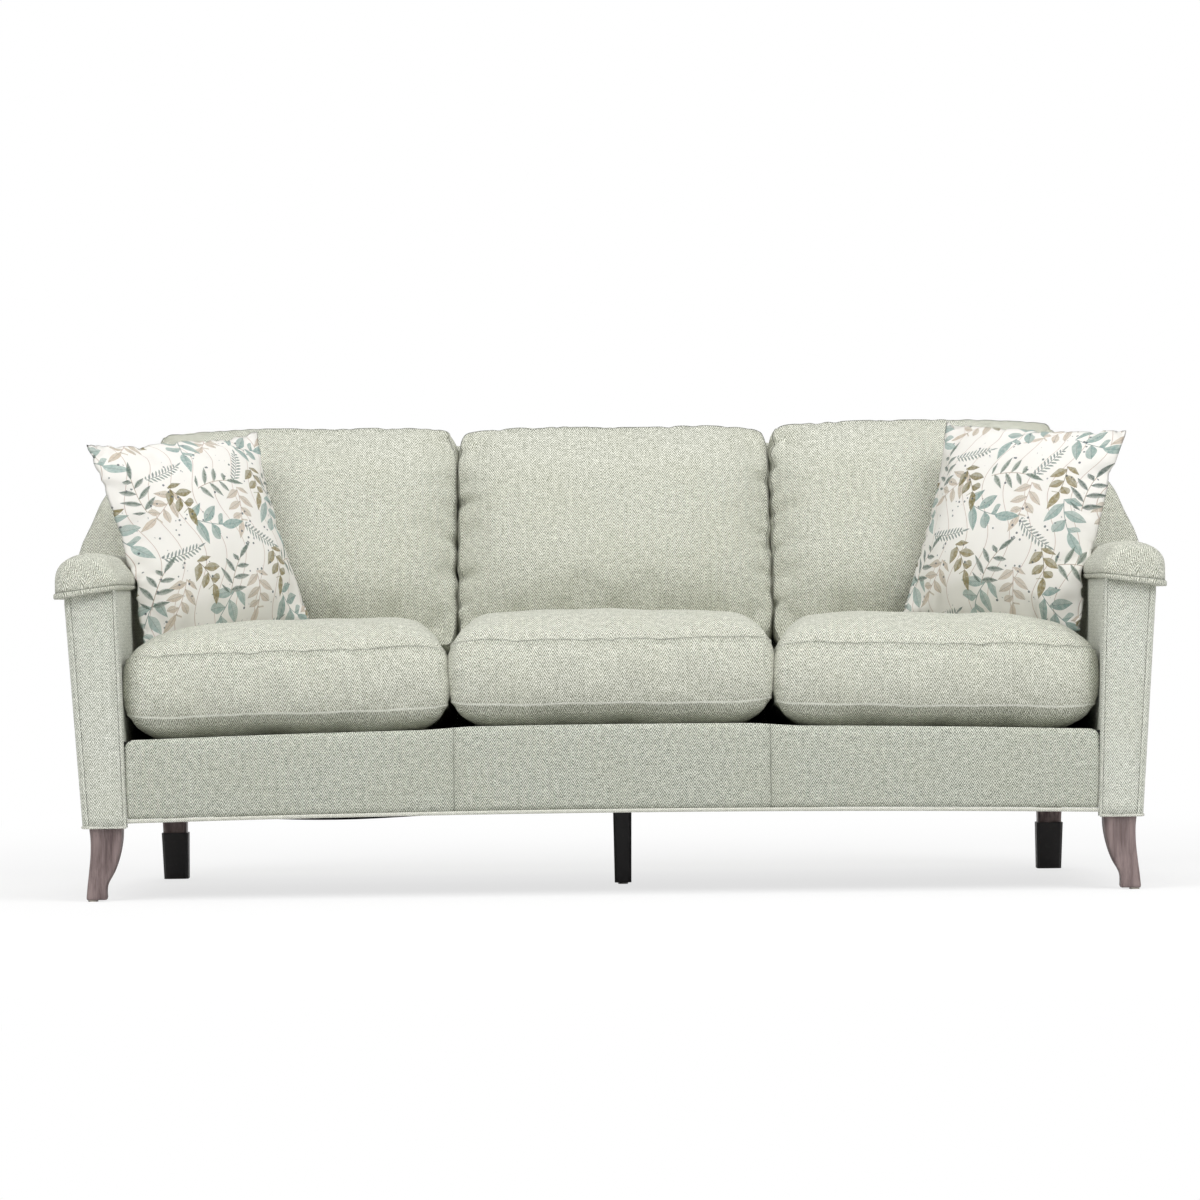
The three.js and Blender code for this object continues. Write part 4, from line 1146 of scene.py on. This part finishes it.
def make_arm_front(side, outward):
    edges, foot, top, front = arm_edges(side)
    z = (foot + (top + CAP_HEM_RISE - foot) * spaced(top - foot, PANEL_CELL))[:, None]
    inner_x, outer_x = edges(z)
    shares = np.concatenate([[0, 0.004, 0.02], np.linspace(0.1, 0.9, 9), [0.98, 0.996, 1]])
    tuck = np.concatenate([[ARM_TUCK, 0.0005, 0], np.zeros(9), [0, 0.0005, ARM_TUCK]])
    start, end = inner_x + ARM_SEAM_INSET["inner"], outer_x - ARM_SEAM_INSET["outer"]
    crown = ARM_FRONT_CROWN * (1 - (2 * shares - 1) ** 2)
    face = grid_of(outward * (start + (end - start) * shares), front + tuck - crown, z)
    seam = ARM_SEAM_FAINT + np.minimum(shares, 1 - shares) * (end - start)[0]
    cloth = two_sided(face, face + (0, ARM_FRONT_DEPTH, 0), face[..., [0, 2]], seam)
    fit(cloth.build(f"arm_front_cover_{side}", SAGE_LIT), f"arm_front_panel_{side}")


def cap_branches(side):
    """The cap's section, split at its top: how far out its inner and its outer side stand."""
    node = f"arm_cap_{side}"
    low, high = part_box(node)
    x, z = np.abs(outline_of(node, BACK_SPACE, rear=True)).T
    share = (z - z.min()) / (z.max() - z.min())
    top_x = x[share > 0.999]

    def branch(pick):
        order = np.argsort(share[pick])
        return share[pick][order], x[pick][order]

    return (branch(x <= top_x.min() + 1e-5), branch(x >= top_x.max() - 1e-5), low, high,
            high[2] - low[2])


def bridge(cloth, ends, sides, weave, step, arch=0):
    """Closes the gap between two sides of a skin with a strip four cells wide."""
    (left, right), shares = sides, (0.25, 0.5, 0.75)
    inner = [cloth.place(left + (right - left) * s + arch * math.sin(math.pi * s)) for s in shares]
    cloth.panel(np.stack([ends[0], *inner, ends[1]]),
                np.stack([weave + s * step for s in (0, *shares, 1)]))


def make_arm_cap(side, outward):
    """The cap, drawn over the arm's top like a sock, with a hem round its foot."""
    node = f"arm_cap_{side}"
    rng = np.random.default_rng(SEED + 50 + outward)
    inner_side, outer_side, low, high, tall = cap_branches(side)
    hem = CAP_HEM / tall
    shares = np.concatenate([[0, 0.2 * hem, 0.8 * hem, hem, hem + 0.012, hem + 0.035],
                             np.linspace(hem + 0.09, 0.80, 6), [0.87, 0.925, 0.965, 0.99, 1.0]])
    share, out = shares[:, None], np.zeros((len(shares), 1))
    out[:6, 0] = CAP_HEM_STAND * np.array([0.0, 1.0, 1.0, 0.75, -0.45, -0.1])
    start = np.interp(share, *inner_side) + CAP_TUCK_IN * (1 - share) - out
    end = np.interp(share, *outer_side) - CAP_HEM_STAND + out
    z = low[2] + share * tall
    over = np.clip((z - (high[2] - CAP_NOSE)) / CAP_NOSE, 0, 1)
    nose = (low[1] + CAP_HEM_STAND + CAP_NOSE_LEAN * share - out
            + CAP_NOSE_REACH * CAP_NOSE * (1 - np.sqrt(1 - over**2)))
    corner = np.minimum(CAP_CORNER, (end - start) / 2 - 0.0005)
    rear = plane_y("inside_back")(z) - 0.001
    flank = rear + (nose + corner - rear) * spaced(0.82, 0.014)[:-1]
    across, back = quarter_round(7)
    ahead = np.array([0.2, 0.4, 0.45, 0.5, 0.55, 0.6, 0.8])
    x = np.hstack([start + 0 * flank, start + corner * across,
                   start + corner + (end - start - 2 * corner) * ahead, end - corner * back,
                   end + 0 * flank])
    y = np.hstack([flank, nose + corner * back, nose + 0 * ahead, nose + corner * across,
                   flank[:, ::-1]])
    far, wide = max(abs(high[0]), abs(low[0])), high[0] - low[0]
    rise = CAP_HEM_RISE * (1 - share) ** 1.5 * np.clip((far - x) / wide, 0, 1)
    face = grid_of(outward * x, y, z + rise)
    weave = grid_of(length_along(grid_of(x, y)), length_along(face[:, 3])[:, None])
    cloth = Cloth()
    numbers = cloth.place(face, np.abs(share - hem - 0.012) * tall)
    cloth.panel(numbers, weave)
    half = (face.shape[1] - 3) // 2
    ends = np.minimum(np.arange(half), half - 1 - np.arange(half))
    for row, bow in ((0, 0.0), (-1, CAP_BOW)):
        left, right = face[row, :half], face[row, ::-1][:half]
        step = grid_of(0, np.linalg.norm(right - left, axis=1))
        arch = grid_of(0, 0, np.minimum(ends / 3, 1) * bow)
        bridge(cloth, (numbers[row, :half], numbers[row, ::-1][:half]), (left, right),
               weave[row, :half], step, arch)
    bridge(cloth, (numbers[:, 0], numbers[:, -1]), (face[:, 0], face[:, -1]), weave[:, 0],
           np.array([0.1, 0]))
    piece = cloth.build(f"arm_cap_cover_{side}", SAGE)
    sew(piece.data, join=True)
    subdivide(piece, crease=False)
    points = points_of(piece)
    ease = smooth_step((points[:, 2] - low[2] - 0.03) / 0.03)
    displace(piece, soft_waves(points, rng, size=0.16, height=0.0016) * ease)
    fit(piece, node)


def tube(name, path, radius):
    """A welt: a round cord under cloth along a path."""
    line = even_run(path, EDGE_CELL)
    ahead = np.gradient(line, axis=0)
    ahead /= np.linalg.norm(ahead, axis=1, keepdims=True)
    across = np.cross(ahead, [0, 0, 1.0])
    across /= np.linalg.norm(across, axis=1, keepdims=True)
    up = np.cross(across, ahead)
    angles = np.linspace(0, math.tau, 11)
    cosine, sine = np.cos(angles[:-1, None]), np.sin(angles[:-1, None])
    rings = line[:, None] + radius * (across[:, None] * cosine + up[:, None] * sine)
    even = np.linspace(0, length_along(path)[-1], len(line))
    return closed_rings(rings, grid_of(even[:, None], angles * radius)).build(name, WELT)


def make_foot_welt(side, outward):
    """The welt that goes on round the foot of the arm's front."""
    edges, foot, _, front = arm_edges(side)
    inner_x, outer_x = edges(foot)
    corner, angles = ARM_ROUND["outer"], np.linspace(0.25, math.pi / 2, 5)
    x = [inner_x + 0.001, outer_x - corner, *(outer_x - corner * (1 - np.sin(angles))), outer_x]
    y = [0.002, 0.001, *(0.001 + corner * (1 - np.cos(angles))), 0.12]
    path = grid_of(outward * np.array(x), front + np.array(y), foot + 0.001)
    fit(tube(f"arm_foot_welt_{side}", path, FOOT_WELT_RADIUS))


# Back


def path_over(outline):
    """The part of a back's outline over the top, from the foot of one wing to the foot of the other."""
    right = outline[outline[:, 0] > outline[:, 0].max() - 0.060]
    start = right[np.argmin(right[:, 1])]
    first, last = (int(np.argmin(np.hypot(*(outline - start * sign).T)))
                   for sign in ([1, 1], [-1, 1]))
    runs = []
    for step in (1, -1):
        order = [first]
        while order[-1] != last:
            order.append((order[-1] + step) % len(outline))
        runs.append(outline[order])
    return max(runs, key=lambda run: run[:, 1].max())


def outward_of(run):
    """The way out of an outline at each point of the part of it that goes over the top."""
    ahead = np.gradient(run, axis=0)
    ahead /= np.linalg.norm(ahead, axis=1, keepdims=True)
    out = np.column_stack([ahead[:, 1], -ahead[:, 0]])
    return out if out[len(out) // 2][1] > 0 else -out


def distance_to(points, line):
    """How far each point is from a line of points."""
    start, step = line[:-1], np.diff(line, axis=0)
    share = np.einsum("pij,ij->pi", points[:, None] - start[None], step) / (step**2).sum(axis=1)
    foot = start[None] + np.clip(share, 0, 1)[..., None] * step[None]
    return np.linalg.norm(points[:, None] - foot, axis=2).min(axis=1)


def within(points, outline):
    """Which points lie inside an outline."""
    (start_x, start_z), (end_x, end_z) = outline.T, np.roll(outline, -1, axis=0).T
    x, z = points[:, 0, None], points[:, 1, None]
    rise = np.where(np.abs(end_z - start_z) < 1e-12, 1e-12, end_z - start_z)
    cross = (end_x - start_x) * (z - start_z) / rise + start_x
    return (((start_z > z) != (end_z > z)) & (x < cross)).sum(axis=1) % 2 == 1


def meet_arms(outline, level):
    """Widens the inside back where it stands between the arms, until it meets them."""
    x, up = outline.T
    z = BACK_SPACE[2][1] * level + BACK_SPACE[2][2] * up
    inner_x = arm_edges()[0](z)[0]
    between = (np.abs(x) < inner_x) & (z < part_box("arm_cap_right")[1][2])
    return np.column_stack([np.where(between, np.sign(x) * (inner_x - MEET_GAP), x), up])


def make_back_panel(node, roll, front_side, seed):
    """The padded inside of the back, or its plain outside: flat cloth rolled over at its edge."""
    rng = np.random.default_rng(seed)
    outline = outline_of(node, BACK_SPACE)
    low, high = reach_of(node, BACK_SPACE)
    if front_side:
        outline = meet_arms(outline, low[1])
    over = even_run(path_over(outline), EDGE_CELL)
    loop = even_run(np.vstack([outline, outline[:1]]), BACK_LOOP_CELL)
    closed = loop[:-1]
    rings = np.concatenate([over - outward_of(over) * (share * roll)
                            for share in (0.12, 0.36, 0.66, 1.0)])
    inner = np.stack(np.meshgrid(np.arange(low[0], high[0], BACK_CELL),
                                 np.arange(low[2], high[2], BACK_CELL)), axis=-1).reshape(-1, 2)
    flat = [closed]
    for points, gap in ((rings, 0.05 * roll), (inner, roll + 0.006)):
        points = points[within(points, closed)]
        flat.append(points[distance_to(points, loop) > gap])
    edges = [(k, (k + 1) % len(closed)) for k in range(len(closed))]
    flat = [Vector(point) for point in np.concatenate(flat)]
    flat, _, faces, *_ = delaunay_2d_cdt(flat, edges, [], 1, 1e-7)
    flat = np.array(flat)
    near = distance_to(flat, over)
    shown_y, hidden_y = (low[1], high[1]) if front_side else (high[1], low[1])
    wave = soft_waves(np.column_stack([flat, np.zeros(len(flat))]), rng, size=0.5, height=0.0010)
    fall = np.minimum(rolled(roll, near), 0.8 * abs(hidden_y - shown_y)) + BACK_CROWN + wave
    face, back = (grid_of(flat[:, 0], y, flat[:, 1])
                  for y in (shown_y + (fall if front_side else -fall), hidden_y))
    cloth = Cloth()
    shown, hidden = cloth.place(face, near), cloth.place(back)
    quads = np.array([[*ring, ring[-1]] for ring in faces])
    for numbers in (shown, hidden):
        cloth.faces.append(numbers[quads])
        cloth.weave.append(flat[quads])
    walk = boundary([list(ring) for ring in faces])
    walk.append(walk[0])
    rim(cloth, shown[walk], hidden[walk], face[walk], back[walk])
    fit(cloth.build(f"{node}_cover", SAGE, BACK_SPACE), node)


def make_back_band():
    """The band between the inside and the outside of the back, round the top and down the wings."""
    low, high = reach_of("back_band", BACK_SPACE)
    over = even_run(path_over(outline_of("inside_back", BACK_SPACE)), EDGE_CELL)
    out = outward_of(over)
    share = np.array([0, 0.03, 0.10, 0.22, 0.4, 0.6, 0.78, 0.90, 0.97, 1])[:, None]
    y = low[1] - BAND_OVER + (high[1] - low[1] + 2 * BAND_OVER) * share
    stand = BAND_CROWN * np.sqrt(np.abs(np.sin(math.pi * share))) - BAND_INSET
    flat = over + out * stand[..., None]
    face = grid_of(flat[..., 0], y, flat[..., 1])
    hidden = face - grid_of(out[:, 0], 0, out[:, 1]) * SKIN
    seam = np.minimum(share, 1 - share) * (high[1] - low[1])
    cloth = two_sided(face, hidden, grid_of(length_along(over), y), seam)
    fit(cloth.build("back_band_cover", SAGE, BACK_SPACE), "back_band")


# Border, deck and dust cover


def deck_top(x):
    """How high the deck's cloth stands, in the deck's own space: the side cushions press it down."""
    points = node_points("deck_pad", DECK_SPACE)
    xs, tops = profile(points[points[:, 1] < points[:, 1].min() + 0.002], np.max)
    ends = smooth_step((np.abs(x) - xs.max() + 0.030) / 0.026)
    return (np.interp(x, xs, tops) - 0.002 - SIDE_SETTLE * smooth_step((np.abs(x) - 0.26) / 0.12)
            - DECK_END_DROP * ends)


def deck_front(x):
    """The height of the deck's front edge."""
    low, _ = reach_of("deck_pad", DECK_SPACE)
    return DECK_SPACE[2][1] * low[1] + DECK_SPACE[2][2] * deck_top(np.clip(x, -0.92, 0.92))


def make_border():
    """The padded border under the seat, sewn from three lengths."""
    node = "front_border"
    rng = np.random.default_rng(SEED + 70)
    low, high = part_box(node)
    half, back_y = high[0], high[1] - SHADE_SHEET_ROOM
    ends = half - BORDER_CORNER * np.linspace(0, 1, 12)
    seams = BORDER_SEAM + np.array([-6, -3, -1, 0, 1, 3, 6]) * 0.001
    x = np.concatenate([np.linspace(-half, half, 150), ends, -ends, seams, -seams])
    x = np.unique(np.round(x, 5))
    end = half - np.abs(x)
    foot = np.interp(x, *profile(node_points(node), np.min))
    top = deck_front(x) - 0.0005 - rolled(BORDER_CORNER, end)
    near_seam = np.abs(np.abs(x) - BORDER_SEAM)
    groove = BORDER_DITCH * bell(near_seam / 0.0020) + BORDER_DIMPLE * bell(near_seam / 0.012)
    share = spaced(BORDER_TALL, EDGE_CELL)[:, None]
    across, back = (part[1:, None] for part in quarter_round(7))
    z = np.vstack([foot + (top - BORDER_ROLL - foot) * share, top - BORDER_ROLL * back])
    stand = np.vstack([-BORDER_CROWN * np.sin(math.pi * (share * 0.9 + 0.05)), BORDER_ROUND * across])
    y = low[1] + 0.003 + stand + groove + rolled(BORDER_ROUND, end)
    face = grid_of(x * np.where(end < 0.02, arm_edges()[0](z)[0] / half, 1), y, z)
    y = y + soft_waves(face.reshape(-1, 3), rng, size=0.34, height=0.0008).reshape(y.shape)
    face[..., 1] = np.minimum(y, back_y - 0.0002)
    hidden = grid_of(face[..., 0], back_y, z)
    cloth = two_sided(face, hidden, face[..., [0, 2]], near_seam)
    # The border wears the darker copy of the sage cloth: painted shade under the seat
    fit(cloth.build("border_cover", SAGE_SHADED), node)


def make_deck_shade_sheet():
    """A strip of black cloth over the rail and the deck's edge behind the border: painted shade, a dark
    sheet put where deep shadow falls.
    """
    _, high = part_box("front_border")
    inner_x = arm_edges()[0](high[2])[0]
    x, share = np.meshgrid(np.linspace(-inner_x, inner_x, 90), np.linspace(0, 1, 6))
    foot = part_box("front_rail")[1][2] - 0.028
    z = foot + (deck_front(x) - 0.004 - foot) * share
    face = grid_of(x, high[1] - SHADE_SHEET_ROOM + 0.0001, z)
    cloth = two_sided(face, face + (0, 0.8 * SHADE_SHEET_ROOM, 0), grid_of(x, z))
    fit(cloth.build("deck_shade_sheet", BLACK_DUST_AND_SHADE_CLOTH))


def make_bottom_welt():
    node = "bottom_welt"
    low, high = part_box(node)
    radius = (high[1] - low[1]) / 2
    x = np.linspace(low[0], high[0], 90)
    foot = np.interp(x, *profile(node_points(node), np.min))
    piece = tube("border_welt", grid_of(x, low[1] + radius - 0.001, foot + radius), radius)
    fit(piece, node)


def make_deck_cover():
    node = "deck_pad"
    low, high = reach_of(node, DECK_SPACE)
    deep = high[1] - low[1]
    x = np.linspace(low[0], high[0], 96)
    share = spaced(deep, PANEL_CELL)[1:, None]
    across, back = (DECK_ROLL * part[::-1, None] for part in quarter_round(6))
    dip = DECK_DIP * np.sin(x * 3 * math.pi / high[0]) ** 2
    y = low[1] + np.vstack([back, DECK_ROLL + (deep - DECK_ROLL - 0.008) * share])
    face = grid_of(x, y, deck_top(x) - np.vstack([across + 0 * x, dip + 0 * share]))
    cloth = two_sided(face, grid_of(x, y, low[2] + 0.001), face[..., [0, 1]])
    piece = cloth.build("deck_cover", DECK_CLOTH, DECK_SPACE)
    # The deck's front lip wears the darker copy of the sage cloth: painted shade
    piece.data.materials.append(SAGE_SHADED)
    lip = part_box(node)[0][1] + DECK_LIP
    for ring in piece.data.polygons:
        if ring.center.y < lip:
            ring.material_index = 1
    fit(piece, node)


def make_dust_cover():
    """The black cloth stapled under the seat, which sags a little behind the left of the border."""
    node = "dust_cover"
    low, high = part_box(node)
    place, spread, reach = -0.548, 0.230, 0.420
    x, y = np.meshgrid(np.linspace(low[0], high[0], 110), np.linspace(low[1], high[1], 46))
    edge = np.minimum(np.minimum(x - low[0], high[0] - x), np.minimum(y - low[1], high[1] - y))
    fall = (DUST_SAG * bell((x - place) / spread) * np.maximum(1 - (y - low[1]) / reach, 0) ** 2
            + DUST_WAVE * (1 - bell(edge / 0.05)) * (1 + np.sin(x * 23) * np.sin(y * 17)))
    face = grid_of(x, y, high[2] - fall - DUST_THICK)
    piece = two_sided(face, face + (0, 0, DUST_THICK), grid_of(x, y)).build("dust_cloth", BLACK_DUST_AND_SHADE_CLOTH)
    fit(piece, node)


# Legs


def make_front_leg(side):
    """A sabre leg: the rings of the frame's leg joined by one smooth curve."""
    node = f"front_leg_{side}"
    points = node_points(node)
    rings = []
    for z in np.unique(np.round(points[:, 2], 4)):
        level = points[np.abs(points[:, 2] - z) < SAME_PLACE]
        (x0, y0, _), (x1, y1, _) = level.min(axis=0), level.max(axis=0)
        if x1 - x0 > LEG_STUD and len(level) >= 8:
            rings.append([z, x0, x1, y0, y1])
    levels, *sides = np.array(rings).T
    z = np.linspace(levels[0], levels[-1], 40)
    x0, x1, y0, y1 = (cubic(levels, side, z)[:, None] for side in sides)
    turn = np.linspace(0, math.tau, 41)[:-1]
    unit_x, unit_y = (np.sign(wave) * np.abs(wave) ** LEG_SQUARENESS
                      for wave in (np.cos(turn), np.sin(turn)))
    body = grid_of((x0 + x1) / 2 + unit_x * (x1 - x0) / 2, (y0 + y1) / 2 + unit_y * (y1 - y0) / 2,
                   z[:, None])
    middle = body[0].mean(axis=0)
    body[0] = middle + (body[0] - middle) * LEG_FOOT_TAPER
    cloth = closed_rings(body, np.zeros((len(z), len(turn) + 1, 2)))
    fit(cloth.build(f"sabre_leg_{side}", LEG_WOOD), node)


def cubic(places, values, at):
    """A smooth curve through values, level with a straight line between the last two."""
    slopes = np.gradient(values, places)
    index = np.clip(np.searchsorted(places, at) - 1, 0, len(places) - 2)
    step = places[index + 1] - places[index]
    t = (at - places[index]) / step
    return ((2 * t**3 - 3 * t**2 + 1) * values[index] + (t**3 - 2 * t**2 + t) * step * slopes[index]
            + (-2 * t**3 + 3 * t**2) * values[index + 1] + (t**3 - t**2) * step * slopes[index + 1])


def finish_frame():
    """Frame pieces keep their own meshes and get finished materials."""
    for name, node in frame["nodes"].items():
        upright = any(word in name for word in ("post", "upright", "wing"))
        for holder in node.material_slots:
            holder.material = POST_WOOD if upright else FINISHES[holder.material.name.split(".")[0]]


# Stage


def make_floor():
    mesh = bpy.data.meshes.new("floor")
    reach = 40.0
    mesh.from_pydata([(-reach, -reach, 0), (reach, -reach, 0), (reach, reach, 0), (-reach, reach, 0)],
                     [], [(0, 1, 2, 3)])
    material, graph, shader = new_material("floor_white")
    for label, value in (("Base Color", (0.86, 0.86, 0.86, 1)), ("Roughness", 0.9),
                         ("Specular IOR Level", 0.0)):
        shader[label].default_value = value
    glow = graph.node("Emission", {"Color": (1, 1, 1, 1), "Strength": 1.0})[0]
    far = graph.node("VectorMath", {0: graph.place()}, operation="LENGTH")["Value"]
    share = graph.node("LightPath", {})["Is Camera Ray"] * far.step(1.4, 3.4, 0.74, 1.0)
    nodes = material.node_tree.nodes
    cloth = Signal(graph, nodes["Principled BSDF"].outputs[0])
    blend = graph.node("MixShader", {0: share, 1: cloth, 2: glow})[0]
    graph.feed(nodes["Material Output"].inputs["Surface"], blend)
    mesh.materials.append(material)
    add_object("floor", mesh)


def make_world():
    world = bpy.data.worlds.new("studio")
    bpy.context.scene.world = world
    world.use_nodes = True
    graph = Graph(world.node_tree)
    path = graph.node("LightPath", {})
    mirrored = path["Is Glossy Ray"].do("MAXIMUM", path["Is Transmission Ray"])
    seen = path["Is Camera Ray"].do("MAXIMUM", mirrored)
    background = world.node_tree.nodes["Background"].inputs
    background["Color"].default_value = (1, 1, 1, 1)
    graph.feed(background["Strength"], seen * (1.0 - WORLD_LIGHT) + WORLD_LIGHT)


LAMPS = (
    # name, place, where it is aimed, size, watts
    ("left_lamp", (-3.1, -3.3, 3.5), (-0.3, 0, 0.4), (2.6, 2.0), 96),
    ("right_lamp", (3.1, -3.3, 3.5), (0.3, 0, 0.4), (2.6, 2.0), 118),
    ("top_lamp", (0, -1.3, 4.4), (0, 0, 0.4), (4.6, 2.2), 92),
    ("rear_lamp", (0, 4.2, 2.3), (0, 0.3, 0.5), (3.6, 1.6), 70),
)


def make_lights():
    for name, place, aim, size, watts in LAMPS:
        light = bpy.data.lights.new(name, "AREA")
        light.shape = "RECTANGLE"
        light.size, light.size_y = size
        light.energy = watts
        lamp = add_object(name, light)
        lamp.location = place
        lamp.rotation_euler = (Vector(aim) - Vector(place)).to_track_quat("-Z", "Y").to_euler()


def make_camera():
    lens = bpy.data.cameras.new("camera")
    lens.sensor_width = 36
    lens.lens = LENS
    lens.clip_end = 200
    camera = add_object("camera", lens)
    camera.location = (EYE_ASIDE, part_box("arm_front_panel_left")[0][1] - EYE_DISTANCE, EYE_HEIGHT)
    level = Matrix.Rotation(math.pi / 2, 3, "X")
    camera.rotation_euler = (level @ Matrix.Rotation(EYE_ROLL, 3, "Z")).to_euler()
    bpy.context.scene.camera = camera


finish_frame()
for side, place in PLACES.items():
    make_seat_cushion(side, place)
    make_back_cushion(side, place)
for side, outward in SIDES.items():
    make_pillow(side, outward)
    make_arm_cover(side, outward, "outer")
    make_arm_cover(side, outward, "inner")
    make_arm_tuck(side, outward)
    make_arm_front(side, outward)
    make_arm_cap(side, outward)
    make_foot_welt(side, outward)
    make_front_leg(side)
make_back_panel("inside_back", roll=0.014, front_side=True, seed=SEED + 80)
make_back_panel("outside_back", roll=0.005, front_side=False, seed=SEED + 81)
make_back_band()
make_border()
make_deck_shade_sheet()
make_bottom_welt()
make_deck_cover()
make_dust_cover()
make_floor()
make_world()
make_lights()
make_camera()

bpy.context.scene.view_settings.view_transform = "Standard"
